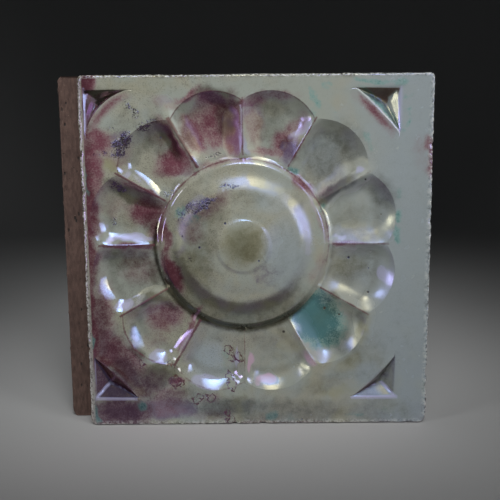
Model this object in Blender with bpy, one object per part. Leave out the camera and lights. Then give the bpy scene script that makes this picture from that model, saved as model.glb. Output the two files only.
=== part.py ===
"""A square stoneware relief tile with a lap joint, moulded and fired as one piece.

X runs to the right as the face is seen, the face looks towards -Y and Z is up. The origin is the middle of
the bounding box, on the underside that the tile stands on. A thick glazed slab carries the rosette. A second
slab behind it stands out at the left as a ledge and leaves a rebate at the right, so that a row of tiles laps.
"""

import math

import bmesh
import bpy
from mathutils import Vector

# The two slabs of the lap joint
HEIGHT = 0.200
FRONT_WIDTH = 0.195
FRONT_THICKNESS = 0.017
REAR_THICKNESS = 0.018
LEDGE_WIDTH = 0.014
LAP_GAP = 0.0015

# Rounded edges and corners
FRONT_CORNER = 0.0025
REAR_CORNER = 0.0035
LEFT_ROLL = 0.0030
EDGE_ROLL = 0.0012
ROLL_DEPTH = 0.0030
REAR_ROLL = 0.0010
ROLL_STEPS = 4
CORNER_STEPS = 4

# The rosette: its place, and its ring of scooped petals
ROSETTE_HEIGHT = 0.106
ROSETTE_SHIFT = -0.0007
PETALS = 12
PETAL_TIP_RADIUS = 0.0871
PETAL_END_RADIUS = 0.0267
PETAL_DEPTH = 0.0056
PETAL_FOOT_DEPTH = 0.0037
PETAL_WALL_WIDTH = 0.0105
ARRIS_SINK = 0.0012
ARRIS_SHARPNESS = 3.0
PETAL_STEPS_ROUND = 10
PETAL_STEPS_ALONG = 9

# The stepped boss, as radii and as heights above the face
BOSS_RADIUS = 0.0501
CREST_RADIUS = 0.0468
CREST_ROUND = 0.0008
CREST_HEIGHT = 0.0003
GROOVE_RADIUS = 0.0385
GROOVE_HEIGHT = -0.0006
SHOULDER_RADIUS = 0.0290
SHOULDER_HEIGHT = 0.0034
DOME_RADIUS = 0.0160
DOME_HEIGHT = 0.0050
BUTTON_RADIUS = 0.0125
BUTTON_HEIGHT = 0.0066
BUTTON_CROWN = 0.0005
BOSS_STEPS_ROUND = 96
BOSS_SINK = 0.004

# The cut corners: pits with two straight sides and a curved one, which has a raised lip
PIT_REACH_SIDE = 0.0865
PIT_REACH_TOP = 0.0862
PIT_REACH_BOTTOM = 0.0895
PIT_LEG = 0.0250
PIT_DEPTH = 0.0068
PIT_DEEPEST = 0.0080
LIP_WIDTH = 0.0042
LIP_HEIGHT = 0.0010
LIP_MARGIN = 0.0006
PIT_STEPS = 8

# How far each pit's curved side bows out towards its corner, from the chord between its legs' ends
BULGE_TOP_LEFT = 0.0048
BULGE_TOP_RIGHT = 0.0012
BULGE_BOTTOM_LEFT = -0.0015
BULGE_BOTTOM_RIGHT = 0.0010

# Shallow grooves that key the back into mortar
KEY_GROOVES = 6
KEY_WIDTH = 0.008
KEY_DEPTH = 0.0025
KEY_SLOPE = 0.0015
KEY_MARGIN = 0.016

# How far a cutting or joining shape reaches past the surface that it meets
OVERLAP = 0.002

TOTAL_WIDTH = FRONT_WIDTH + LEDGE_WIDTH
TOTAL_DEPTH = BUTTON_HEIGHT + FRONT_THICKNESS + REAR_THICKNESS
LEFT = -TOTAL_WIDTH / 2
RIGHT = TOTAL_WIDTH / 2
FRONT_LEFT = LEFT + LEDGE_WIDTH
FACE_Y = BUTTON_HEIGHT - TOTAL_DEPTH / 2
LEDGE_Y = FACE_Y + FRONT_THICKNESS
BACK_Y = LEDGE_Y + REAR_THICKNESS
REBATE_LEFT = RIGHT - LEDGE_WIDTH - LAP_GAP
REBATE_Y = LEDGE_Y - LAP_GAP


def clear_scene():
    for thing in list(bpy.data.objects):
        bpy.data.objects.remove(thing, do_unlink=True)


def on_rosette(across, up, height):
    """A point from the rosette's centre: to the right, upwards, and out from the face."""
    return Vector((ROSETTE_SHIFT + across, FACE_Y - height, ROSETTE_HEIGHT + up))


def mesh_object(name, build):
    """An object whose mesh the function build fills in, with its faces turned outwards."""
    work = bmesh.new()
    build(work)
    bmesh.ops.recalc_face_normals(work, faces=work.faces)
    mesh = bpy.data.meshes.new(name)
    work.to_mesh(mesh)
    work.free()
    thing = bpy.data.objects.new(name, mesh)
    bpy.context.scene.collection.objects.link(thing)
    return thing


def skin_loops(work, loops):
    """Join equal loops of points by faces, one after the other, and close the first and the last."""
    rows = [[work.verts.new(point) for point in loop] for loop in loops]
    count = len(rows[0])
    for low, high in zip(rows, rows[1:]):
        for i in range(count):
            j = (i + 1) % count
            work.faces.new((low[i], low[j], high[j], high[i]))
    work.faces.new(rows[0])
    work.faces.new(reversed(rows[-1]))


def close_with_centre(work, ring, centre):
    """Close a loop of vertices by a fan of triangles to one point."""
    hub = work.verts.new(centre)
    for i, corner in enumerate(ring):
        work.faces.new((corner, ring[(i + 1) % len(ring)], hub))


def rounded_outline(left, right, low, high, radius, y):
    """A rectangle across the tile at depth y, with round corners."""
    points = []
    centres = (
        (right - radius, high - radius, 0),
        (left + radius, high - radius, 1),
        (left + radius, low + radius, 2),
        (right - radius, low + radius, 3),
    )
    for x, z, quarter in centres:
        for step in range(CORNER_STEPS + 1):
            angle = (quarter + step / CORNER_STEPS) * math.pi / 2
            points.append((x + radius * math.cos(angle), y, z + radius * math.sin(angle)))
    return points


def roll_angles():
    return [step / ROLL_STEPS * math.pi / 2 for step in range(ROLL_STEPS + 1)]


def build_front_slab(work):
    """The glazed slab: its front edges roll over, most of all at the left, and it runs into the rear slab."""
    loops = []
    for angle in roll_angles():
        inset = 1 - math.sin(angle)
        y = FACE_Y + ROLL_DEPTH * (1 - math.cos(angle))
        left = FRONT_LEFT + LEFT_ROLL * inset
        right = RIGHT - EDGE_ROLL * inset
        low = EDGE_ROLL * inset
        high = HEIGHT - EDGE_ROLL * inset
        loops.append(rounded_outline(left, right, low, high, FRONT_CORNER, y))
    loops.append(rounded_outline(FRONT_LEFT, RIGHT, 0, HEIGHT, FRONT_CORNER, LEDGE_Y + OVERLAP))
    skin_loops(work, loops)


def build_rear_slab(work):
    """The slab of bare clay behind, as wide as the whole tile, with small rolled edges front and back."""
    loops = []
    for angle in roll_angles():
        inset = REAR_ROLL * (1 - math.sin(angle))
        y = LEDGE_Y + REAR_ROLL * (1 - math.cos(angle))
        loops.append(rounded_outline(LEFT + inset, RIGHT - inset, 0, HEIGHT, REAR_CORNER, y))
    for angle in reversed(roll_angles()):
        inset = REAR_ROLL * (1 - math.sin(angle))
        y = BACK_Y - REAR_ROLL * (1 - math.cos(angle))
        loops.append(rounded_outline(LEFT + inset, RIGHT - inset, 0, HEIGHT, REAR_CORNER, y))
    skin_loops(work, loops)


def build_rebate(work):
    """The room behind the right edge for the next tile's ledge and the mortar round it."""
    near = [
        (REBATE_LEFT, REBATE_Y, -OVERLAP),
        (RIGHT + OVERLAP, REBATE_Y, -OVERLAP),
        (RIGHT + OVERLAP, REBATE_Y, HEIGHT + OVERLAP),
        (REBATE_LEFT, REBATE_Y, HEIGHT + OVERLAP),
    ]
    far = [(x, BACK_Y + OVERLAP, z) for x, y, z in near]
    skin_loops(work, (near, far))


def petal_edge(angle):
    """How far a petal reaches at an angle from its middle line: its end is an arc of PETAL_END_RADIUS."""
    middle = PETAL_TIP_RADIUS - PETAL_END_RADIUS
    return middle * math.cos(angle) + math.sqrt(PETAL_END_RADIUS**2 - (middle * math.sin(angle)) ** 2)


def petal_height(along, across):
    """The scoop's height at a share along the petal, from boss to edge, and a share across, from middle to arris.

    The floor falls away from the boss, and the outer wall climbs back to the face as a parabola.
    Across, the scoop is flat in its middle and steep at the arrises, which sink a little towards the boss.
    """
    wall_start = 1 - PETAL_WALL_WIDTH / (PETAL_TIP_RADIUS - BOSS_RADIUS)
    foot = PETAL_FOOT_DEPTH - ARRIS_SINK
    ease = math.sin(min(along / wall_start, 1) * math.pi / 2)
    floor = foot + (PETAL_DEPTH - foot) * ease
    climb = max(along - wall_start, 0) / (1 - wall_start)
    scoop = floor * (1 - climb**2) * (1 - across**ARRIS_SHARPNESS)
    return -ARRIS_SINK * (1 - along) - scoop


def build_petal_cutter(work):
    """All the petals as one shape: rings of points follow their edges, and a lid closes it in front."""
    half = math.pi / PETALS
    count = PETALS * PETAL_STEPS_ROUND
    rows = []
    for step in range(-1, PETAL_STEPS_ALONG + 2):
        row = []
        for i in range(count):
            share = (i % PETAL_STEPS_ROUND) / PETAL_STEPS_ROUND * 2 - 1
            edge = petal_edge(share * half)
            along = min(max(step / PETAL_STEPS_ALONG, 0), 1)
            reach = BOSS_RADIUS + (edge - BOSS_RADIUS) * along
            height = petal_height(along, abs(share))
            if step < 0:
                reach = BOSS_RADIUS - OVERLAP
            if step > PETAL_STEPS_ALONG:
                reach = edge + OVERLAP
                height = OVERLAP
            angle = 2 * math.pi * i / count
            row.append(work.verts.new(on_rosette(reach * math.cos(angle), reach * math.sin(angle), height)))
        rows.append(row)
    for inner, outer in zip(rows, rows[1:]):
        for i in range(count):
            j = (i + 1) % count
            work.faces.new((inner[i], outer[i], outer[j], inner[j]))
    close_with_centre(work, rows[0], on_rosette(0, 0, -PETAL_FOOT_DEPTH))
    close_with_centre(work, rows[-1], on_rosette(0, 0, OVERLAP * 2))


def eased(start, end, steps):
    """Points between two stations of the boss's profile, level at both: the height follows a cosine."""
    points = []
    for step in range(1, steps + 1):
        share = step / steps
        fall = (1 - math.cos(share * math.pi)) / 2
        points.append((start[0] + (end[0] - start[0]) * share, start[1] + (end[1] - start[1]) * fall))
    return points


def domed(start, end, steps):
    """Points between two stations, level at the first: the height falls as a parabola."""
    points = []
    for step in range(1, steps + 1):
        share = step / steps
        points.append((start[0] + (end[0] - start[0]) * share, start[1] + (end[1] - start[1]) * share**2))
    return points


def boss_profile():
    """The boss from its middle outwards, as (radius, height): button, dome, groove, crest and steep foot."""
    middle = (0, BUTTON_HEIGHT)
    button = (BUTTON_RADIUS, BUTTON_HEIGHT - BUTTON_CROWN)
    dome = (DOME_RADIUS, DOME_HEIGHT)
    shoulder = (SHOULDER_RADIUS, SHOULDER_HEIGHT)
    groove = (GROOVE_RADIUS, GROOVE_HEIGHT)
    ring = (CREST_RADIUS - CREST_ROUND, CREST_HEIGHT)
    crest = (CREST_RADIUS, CREST_HEIGHT - CREST_ROUND)
    foot = (BOSS_RADIUS, -PETAL_FOOT_DEPTH)
    root = (BOSS_RADIUS, -PETAL_FOOT_DEPTH - BOSS_SINK)
    return (
        domed(middle, button, 3)
        + eased(button, dome, 4)
        + domed(dome, shoulder, 4)
        + eased(shoulder, groove, 6)
        + eased(groove, ring, 3)
        + [crest, foot, root]
    )


def build_boss(work):
    """The boss turned about its axis, with its foot sunk into the tile."""
    rows = []
    for radius, height in boss_profile():
        row = []
        for i in range(BOSS_STEPS_ROUND):
            angle = 2 * math.pi * (i + 0.5) / BOSS_STEPS_ROUND
            row.append(work.verts.new(on_rosette(radius * math.cos(angle), radius * math.sin(angle), height)))
        rows.append(row)
    for inner, outer in zip(rows, rows[1:]):
        for i in range(BOSS_STEPS_ROUND):
            j = (i + 1) % BOSS_STEPS_ROUND
            work.faces.new((inner[i], outer[i], outer[j], inner[j]))
    close_with_centre(work, rows[0], on_rosette(0, 0, BUTTON_HEIGHT))
    work.faces.new(rows[-1])


def pit_corners():
    """Each pit's outer corner from the rosette's centre, the two ways in towards the middle, and its bulge."""
    for side, end, reach, bulge in (
        (-1, 1, PIT_REACH_TOP, BULGE_TOP_LEFT),
        (-1, -1, PIT_REACH_BOTTOM, BULGE_BOTTOM_LEFT),
        (1, 1, PIT_REACH_TOP, BULGE_TOP_RIGHT),
        (1, -1, PIT_REACH_BOTTOM, BULGE_BOTTOM_RIGHT),
    ):
        yield Vector((side * PIT_REACH_SIDE, end * reach)), Vector((-side, 0)), Vector((0, -end)), bulge


def curved_side(corner, in_x, in_z, leg, bulge):
    """Points along a pit's curved side: the chord between its legs' ends, bowed out towards the corner."""
    start = corner + in_x * leg
    end = corner + in_z * leg
    out = -(in_x + in_z).normalized()
    points = []
    for step in range(PIT_STEPS + 1):
        share = step / PIT_STEPS
        points.append(start.lerp(end, share) + out * bulge * (1 - (2 * share - 1) ** 2))
    return points


def build_lips(work):
    """A low wedge beside each pit: it rises from a line behind the pit's curved side up to it, and past it."""
    leg = PIT_LEG + LIP_MARGIN
    for corner, in_x, in_z, bulge in pit_corners():
        back = curved_side(corner, in_x, in_z, leg, bulge - LIP_WIDTH)
        crest = curved_side(corner, in_x, in_z, leg, bulge + OVERLAP)
        top_back = [work.verts.new(on_rosette(p.x, p.y, 0)) for p in back]
        low_back = [work.verts.new(on_rosette(p.x, p.y, -OVERLAP)) for p in back]
        top_crest = [top_back[0]]
        low_crest = [low_back[0]]
        for p, q in zip(crest[1:-1], back[1:-1]):
            rise = LIP_HEIGHT * (p - q).length / LIP_WIDTH
            top_crest.append(work.verts.new(on_rosette(p.x, p.y, rise)))
            low_crest.append(work.verts.new(on_rosette(p.x, p.y, -OVERLAP)))
        top_crest.append(top_back[-1])
        low_crest.append(low_back[-1])
        for i in range(1, PIT_STEPS - 1):
            work.faces.new((top_back[i], top_back[i + 1], top_crest[i + 1], top_crest[i]))
            work.faces.new((low_back[i], low_back[i + 1], low_crest[i + 1], low_crest[i]))
        for end, beside in ((0, 1), (PIT_STEPS, PIT_STEPS - 1)):
            work.faces.new((top_back[end], top_back[beside], top_crest[beside]))
            work.faces.new((low_back[end], low_back[beside], low_crest[beside]))
        for i in range(PIT_STEPS):
            work.faces.new((top_back[i], top_back[i + 1], low_back[i + 1], low_back[i]))
            work.faces.new((top_crest[i], top_crest[i + 1], low_crest[i + 1], low_crest[i]))


def build_pits(work):
    """The pits as cones on their outlines: straight lines from the deepest point, through the rim, past the face."""
    for corner, in_x, in_z, bulge in pit_corners():
        deepest = corner + (in_x + in_z) * PIT_DEEPEST
        tip = on_rosette(deepest.x, deepest.y, -PIT_DEPTH)
        rim = [on_rosette(corner.x, corner.y, 0)]
        for step, p in enumerate(curved_side(corner, in_x, in_z, PIT_LEG, bulge)):
            rise = LIP_HEIGHT * (1 - (2 * step / PIT_STEPS - 1) ** 2)
            rim.append(on_rosette(p.x, p.y, rise))
        stretch = 1 + (OVERLAP + LIP_HEIGHT) / PIT_DEPTH
        ring = [work.verts.new(tip + (point - tip) * stretch) for point in rim]
        close_with_centre(work, ring, tip)
        lid = sum((vertex.co for vertex in ring), Vector()) / len(ring)
        close_with_centre(work, ring, lid)


def build_key_grooves(work):
    """Level grooves across the back, wider at their mouths, that stop short of its edges."""
    left = LEFT + KEY_MARGIN
    right = REBATE_LEFT - KEY_MARGIN
    pitch = (HEIGHT - 2 * KEY_MARGIN) / KEY_GROOVES
    for index in range(KEY_GROOVES):
        middle = KEY_MARGIN + pitch * (index + 0.5)
        loops = []
        for depth, spread in ((KEY_DEPTH, -KEY_SLOPE), (-OVERLAP, KEY_SLOPE * OVERLAP / KEY_DEPTH)):
            low = middle - KEY_WIDTH / 2 - spread
            high = middle + KEY_WIDTH / 2 + spread
            y = BACK_Y - depth
            loops.append(
                ((left - spread, y, low), (right + spread, y, low), (right + spread, y, high), (left - spread, y, high))
            )
        skin_loops(work, loops)


def stoneware():
    """Glossy grey-green glaze on brown stoneware."""
    material = bpy.data.materials.new("stoneware")
    material.use_nodes = True
    shader = material.node_tree.nodes["Principled BSDF"]
    shader.inputs["Base Color"].default_value = (0.23, 0.23, 0.19, 1)
    shader.inputs["Roughness"].default_value = 0.2
    shader.inputs["Metallic"].default_value = 0.0
    return material


def apply_modifiers(thing):
    depsgraph = bpy.context.evaluated_depsgraph_get()
    mesh = bpy.data.meshes.new_from_object(thing.evaluated_get(depsgraph))
    thing.modifiers.clear()
    thing.data = mesh


def combine(thing, steps):
    """Join shapes to the first one or cut them from it, in order, and remove them."""
    tools = []
    for operation, name, build in steps:
        tool = mesh_object(name, build)
        tool.hide_render = True
        tool.display_type = "WIRE"
        modifier = thing.modifiers.new(name, "BOOLEAN")
        modifier.operation = operation
        modifier.solver = "EXACT"
        modifier.object = tool
        tools.append(tool)
    apply_modifiers(thing)
    for tool in tools:
        bpy.data.objects.remove(tool, do_unlink=True)


def main():
    clear_scene()
    tile = mesh_object("tile", build_front_slab)
    combine(
        tile,
        (
            ("UNION", "rear_slab", build_rear_slab),
            ("DIFFERENCE", "rebate", build_rebate),
            ("UNION", "lips", build_lips),
            ("DIFFERENCE", "pits", build_pits),
            ("DIFFERENCE", "petals", build_petal_cutter),
            ("UNION", "boss", build_boss),
            ("DIFFERENCE", "key_grooves", build_key_grooves),
        ),
    )
    tile.name = "tile"
    tile.data.name = "tile"
    tile.data.materials.clear()
    tile.data.materials.append(stoneware())
    tile.data.shade_smooth()
    tile.data.set_sharp_from_angle(angle=math.radians(28))


main()
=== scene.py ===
# %% [markdown]
# A square relief tile of glazed stoneware
#
# The real thing is one heavy slab of brown clay, pressed into a mould and fired with a grey-green glaze
# that ran wine-red and turquoise in places. Twelve scooped petals stand round a stepped boss, the four
# corners are cut out as small pits, and behind the glazed slab lies a bare one that is set off to the
# left, so that a row of tiles laps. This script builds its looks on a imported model, which gives the
# size and the place.

# %% Load the fixed frame
import math

import bmesh
import bpy
import numpy as np
from mathutils import Matrix, Vector


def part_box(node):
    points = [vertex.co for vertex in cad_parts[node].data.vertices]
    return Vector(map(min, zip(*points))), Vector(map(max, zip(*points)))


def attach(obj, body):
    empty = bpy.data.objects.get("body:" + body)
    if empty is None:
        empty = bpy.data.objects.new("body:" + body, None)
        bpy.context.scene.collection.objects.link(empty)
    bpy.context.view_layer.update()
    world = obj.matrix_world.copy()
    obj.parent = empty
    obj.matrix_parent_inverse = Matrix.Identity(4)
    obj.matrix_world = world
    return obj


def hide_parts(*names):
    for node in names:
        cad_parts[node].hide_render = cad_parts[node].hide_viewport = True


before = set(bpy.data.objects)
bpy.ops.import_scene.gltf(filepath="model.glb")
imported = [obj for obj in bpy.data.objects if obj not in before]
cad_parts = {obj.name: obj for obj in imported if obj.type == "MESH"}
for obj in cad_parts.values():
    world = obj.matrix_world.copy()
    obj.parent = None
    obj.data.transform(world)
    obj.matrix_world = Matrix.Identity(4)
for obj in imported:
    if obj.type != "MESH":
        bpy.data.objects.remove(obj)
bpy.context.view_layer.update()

MM = 0.001
tile_low, tile_high = (np.array(corner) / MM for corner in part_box("tile"))
print("the tile fills, in mm,", tile_low.round(2), "to", tile_high.round(2))

# %% [markdown]
# The camera
#
# A photograph fixes where its camera stood, once a few points of known place are found in it. Here they
# were the edges of the slab and the joints of the petals. The lens looks down by ten degrees from above
# the rosette, and leans by half a degree. The lean turns the camera about its own line of sight, so it
# comes first in the product of turns.

# %% Place the camera
LENS = 60.77
SENSOR = 36.0
CAMERA_PLACE = (3.4, -480.2, 185.8)
LOOK_DOWN = math.radians(10.064)
LEAN = math.radians(-0.514)
TURN = math.radians(0.062)


def placed(name, data):
    """A new object in the scene, made from its data."""
    thing = bpy.data.objects.new(name, data)
    bpy.context.scene.collection.objects.link(thing)
    return thing


lens = bpy.data.cameras.new("camera")
lens.lens = LENS
lens.sensor_width = SENSOR
lens.clip_start = 10 * MM
camera = placed("camera", lens)
turns = (
    Matrix.Rotation(TURN, 4, "Z")
    @ Matrix.Rotation(math.pi / 2 - LOOK_DOWN, 4, "X")
    @ Matrix.Rotation(LEAN, 4, "Z")
)
camera.matrix_world = Matrix.Translation(Vector(CAMERA_PLACE) * MM) @ turns
bpy.context.scene.camera = camera
print("the camera stands, in mm, at", CAMERA_PLACE)

# %% [markdown]
# The sizes that drive the shape
#
# A mould is cut from a drawing with a few sizes on it, and this script keeps the same ones: the slabs,
# the rosette, the profile of the boss and the corner pits. All are in millimetres, which suit a tile
# better than metres, and one line at the end of each mesh turns them into Blender's unit. The outer
# sizes come from the frame.

# %% Name the sizes
FRONT_THICKNESS = 17.0
LEDGE_WIDTH = 14.0
LAP_GAP = 1.5
FRONT_CORNER = 2.5
REAR_CORNER = 3.5
LEFT_ROLL = 3.0
EDGE_ROLL = 1.2
ROLL_DEPTH = 3.0

ROSETTE_HEIGHT = 106.0
ROSETTE_SHIFT = -0.7
PETALS = 12
PETAL_TIP_RADIUS = 87.1
PETAL_END_RADIUS = 26.7
PETAL_DEPTH = 5.6
PETAL_FOOT_DEPTH = 3.7
PETAL_WALL_WIDTH = 9.5
PETAL_WALL_BEND = 1.4
PETAL_SIDE_WIDTH = 9.0
PETAL_SIDE_BEND = 1.5
ARRIS_SINK = 1.6
ARRIS_SLOPE = 0.25

BOSS_RADIUS = 50.1
CREST_RADIUS = 44.7
CREST_HEIGHT = -0.35
GROOVE_RADIUS = 42.5
GROOVE_HEIGHT = -0.5
SHOULDER_RADIUS = 28.0
SHOULDER_HEIGHT = 3.3
DOME_RADIUS = 16.6
DOME_HEIGHT = 4.9
BUTTON_RADIUS = 13.2
BUTTON_HEIGHT = 6.6
BUTTON_CROWN = 0.6

PIT_REACH_SIDE = 86.5
PIT_REACH_TOP = 86.2
PIT_REACH_BOTTOM = 89.5
PIT_LEG = 25.0
PIT_DEPTH = 6.8
PIT_DEEPEST = 8.0
LIP_WIDTH = 4.2
LIP_HEIGHT = 1.0
BULGE_TOP_LEFT = 4.8
BULGE_TOP_RIGHT = 1.2
BULGE_BOTTOM_LEFT = -1.5
BULGE_BOTTOM_RIGHT = 1.0

KEY_GROOVES = 6
KEY_WIDTH = 8.0
KEY_DEPTH = 2.5
KEY_SLOPE = 1.5
KEY_MARGIN = 16.0

LEFT, RIGHT = tile_low[0], tile_high[0]
HEIGHT = tile_high[2]
FACE = tile_low[1] + BUTTON_HEIGHT
LEDGE = FACE + FRONT_THICKNESS
BACK = tile_high[1]
FRONT_LEFT = LEFT + LEDGE_WIDTH
REBATE_LEFT = RIGHT - LEDGE_WIDTH - LAP_GAP
REBATE = LEDGE - LAP_GAP
print(f"face at y {FACE:.1f}, ledge at {LEDGE:.1f}, back at {BACK:.1f}")
print(f"the glazed slab is {RIGHT - FRONT_LEFT:.1f} mm wide")

# %% [markdown]
# Unevenness
#
# Hand-pressed clay and thick glaze are never quite flat. Value noise gives that: random numbers sit on
# a cubic lattice, and every point blends the eight around it with a smooth curve. It is worked out on
# whole arrays, and a seed makes it the same each time. Noise in three dimensions runs over edges
# without a seam.

# %% Define the noise
LATTICE = 64


def quintic(share):
    """From 0 to 1, level at both ends: s**3 * (6 * s**2 - 15 * s + 10)."""
    return share**3 * (share * (share * 6 - 15) + 10)


def grain(points, size, seed):
    """Value noise from -1 to 1: random values on a lattice of cells of size mm, blended by the quintic."""
    values = np.random.default_rng(seed).uniform(-1, 1, (LATTICE,) * 3)
    place = points / np.array(size)
    cell = np.floor(place).astype(int)
    part = quintic(place - cell)
    total = np.zeros(points.shape[:-1])
    for corner in np.ndindex(2, 2, 2):
        weight = np.prod(np.where(corner, part, 1 - part), axis=-1)
        x, y, z = np.moveaxis((cell + corner) % LATTICE, -1, 0)
        total += weight * values[x, y, z]
    return total


def ramp(value, low, high):
    """From 0 below low to 1 above high, along a smooth S."""
    share = np.clip((value - low) / (high - low), 0, 1)
    return share * share * (3 - 2 * share)


print("noise at one point:", grain(np.array([1.0, 2.0, 3.0]), 10, seed=1).round(3))

# %% [markdown]
# The grid of the glazed face
#
# The face could be one dense square grid, but the sharp ridges between the petals would then cut across
# its cells and look like saws. So the grid follows the ornament: its columns are rays from the
# rosette's middle, and its rows are rings. Forty-eight columns share out each petal and crowd together
# at both of its ridges, which are called arrises.

# %% Lay out the columns
COLUMNS = 48
CROWDING = 0.5

petal_index = np.repeat(np.arange(PETALS), COLUMNS)
even = np.tile(np.arange(COLUMNS) / COLUMNS * 2 - 1, PETALS)
across = even + CROWDING * np.sin(np.pi * even) / np.pi
azimuth = (petal_index + (across + 1) / 2) * 2 * np.pi / PETALS
rays = np.stack([np.cos(azimuth), np.sin(azimuth)], axis=-1)
print(len(azimuth), "columns round the rosette")

# %% [markdown]
# The boss
#
# The boss was turned as a profile: a button, a dome, a groove and a crest that falls steeply to the
# petals. A Screw modifier could spin such a profile. Here its heights are a function of the radius:
# stations joined by parabolas, cosines and quintics, then blurred a little, as glaze rounds every edge.
# The rings crowd where the profile bends.

# %% Work out the profile of the boss
PROFILE_STEP = 0.05
PROFILE_BLUR = 0.4
BOSS_RINGS = 38
RING_PULL = 5


def eased(share):
    """From 0 to 1, level at both ends and gentler than the quintic: a half cosine."""
    return (1 - np.cos(share * np.pi)) / 2


def domed(share):
    """From 0 to 1, level at the start: a parabola."""
    return share**2


def boss_profile(radius):
    """Heights over the radius: button, dome, shoulder, groove, crest, foot, then the petals' floor.

    Between two stations the height is start + (end - start) * curve(share of the way).
    """
    stations = (
        (0, BUTTON_HEIGHT),
        (BUTTON_RADIUS, BUTTON_HEIGHT - BUTTON_CROWN),
        (DOME_RADIUS, DOME_HEIGHT),
        (SHOULDER_RADIUS, SHOULDER_HEIGHT),
        (GROOVE_RADIUS, GROOVE_HEIGHT),
        (CREST_RADIUS, CREST_HEIGHT),
        (BOSS_RADIUS, -PETAL_FOOT_DEPTH),
    )
    curves = (domed, quintic, domed, quintic, eased, eased)
    inside = []
    heights = []
    for start, end, curve in zip(stations, stations[1:], curves):
        share = np.clip((radius - start[0]) / (end[0] - start[0]), 0, 1)
        inside.append(radius < end[0])
        heights.append(start[1] + (end[1] - start[1]) * curve(share))
    return np.select(inside, heights, -PETAL_FOOT_DEPTH)


def blurred(values, width):
    """The values after a bell-shaped blur, with both ends carried on level."""
    reach = int(width * 4)
    bell = np.exp(-0.5 * (np.arange(-reach, reach + 1) / width) ** 2)
    return np.convolve(np.pad(values, reach, mode="edge"), bell / bell.sum(), mode="valid")


def crowded(places, values, count, pull):
    """count places between the first and the last, closer together where the values bend."""
    bend = np.abs(np.gradient(np.gradient(values, places), places))
    weight = np.cumsum(1 + pull * bend / bend.max())
    return np.interp(np.linspace(weight[0], weight[-1], count), weight, places)


profile_radius = np.arange(0, BOSS_RADIUS + PROFILE_STEP, PROFILE_STEP)
profile_height = blurred(boss_profile(profile_radius), PROFILE_BLUR / PROFILE_STEP)
boss_radii = crowded(profile_radius, profile_height, BOSS_RINGS + 1, RING_PULL)[1:]
boss_radii[-1] = BOSS_RADIUS
boss_heights = np.interp(boss_radii, profile_radius, profile_height)
print("boss rings from", boss_radii[0].round(2), "to", boss_radii[-1].round(2))

# %% [markdown]
# The petals
#
# Each petal is a scoop with a round end, as a gouge or a bent template leaves it. Its floor falls away
# from the boss, its outer wall climbs back to the face, and across it is flat in the middle and steep
# at the arrises. The solid model has nearly the same sizes. The walls are a shade straighter here,
# because the glaze mirrors a window in each of them as one whole patch, and only a nearly even slope
# does that.

# %% Work out the petals
PETAL_RINGS = 34
RING_POWER = 0.9
half_petal = np.pi / PETALS


def petal_edge(angle):
    """How far a petal reaches at an angle from its middle line: its end is an arc of PETAL_END_RADIUS."""
    middle = PETAL_TIP_RADIUS - PETAL_END_RADIUS
    return middle * np.cos(angle) + np.sqrt(PETAL_END_RADIUS**2 - (middle * np.sin(angle)) ** 2)


def petal_height(along, share):
    """The scoop's height at a share along the petal and a share across, from its middle to the arris.

    The floor sinks by a quarter sine. The outer wall and both side walls are ramps: one minus a low power
    of the share of the way up, so that they are nearly straight, with a bend at the foot.
    """
    wall_start = 1 - PETAL_WALL_WIDTH / (PETAL_TIP_RADIUS - BOSS_RADIUS)
    foot = PETAL_FOOT_DEPTH - ARRIS_SINK
    floor = foot + (PETAL_DEPTH - foot) * np.sin(np.minimum(along / wall_start, 1) * np.pi / 2)
    climb = np.maximum(along - wall_start, 0) / (1 - wall_start)
    radius = BOSS_RADIUS + (petal_edge(share * half_petal) - BOSS_RADIUS) * along
    from_side = (1 - np.abs(share)) * half_petal * radius
    side_climb = np.maximum(1 - from_side / PETAL_SIDE_WIDTH, 0)
    scoop = floor * (1 - climb**PETAL_WALL_BEND) * (1 - side_climb**PETAL_SIDE_BEND)
    return -ARRIS_SINK * (1 - along) - scoop


edge_radius = petal_edge(across * half_petal)
along = np.sin(np.linspace(0, 1, PETAL_RINGS + 1)[1:] * np.pi / 2)[:, None] ** RING_POWER
petal_radii = BOSS_RADIUS + (edge_radius - BOSS_RADIUS) * along
petal_heights = petal_height(along, across)
print(f"petals reach {edge_radius.min():.1f} mm at the arrises and {edge_radius.max():.1f} at the tips")

# %% [markdown]
# Round the outside
#
# The outline of the slab and the square on which the pits' straight legs lie are the same kind of path:
# four sides and four corners, round or sharp. One function walks both. Its parameter m runs from 0 to
# 8, an even stretch for each side and an odd one for each corner, so a point on one path always has its
# partner on the other.

# %% Walk round the outline
SIDE_NORMALS = np.array([(1, 0), (0, 1), (-1, 0), (0, -1)])
PIT_REACHES = np.array([PIT_REACH_SIDE, PIT_REACH_TOP, PIT_REACH_SIDE, PIT_REACH_BOTTOM])
PIT_BULGES = np.array([BULGE_TOP_RIGHT, BULGE_TOP_LEFT, BULGE_BOTTOM_LEFT, BULGE_BOTTOM_RIGHT])


def face_reaches(left_inset, inset):
    """How far the slab reaches from the rosette's middle, right, up, left and down, less an inset."""
    return np.array(
        [
            RIGHT - ROSETTE_SHIFT - inset,
            HEIGHT - ROSETTE_HEIGHT - inset,
            ROSETTE_SHIFT - FRONT_LEFT - left_inset,
            ROSETTE_HEIGHT - inset,
        ]
    )


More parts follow.
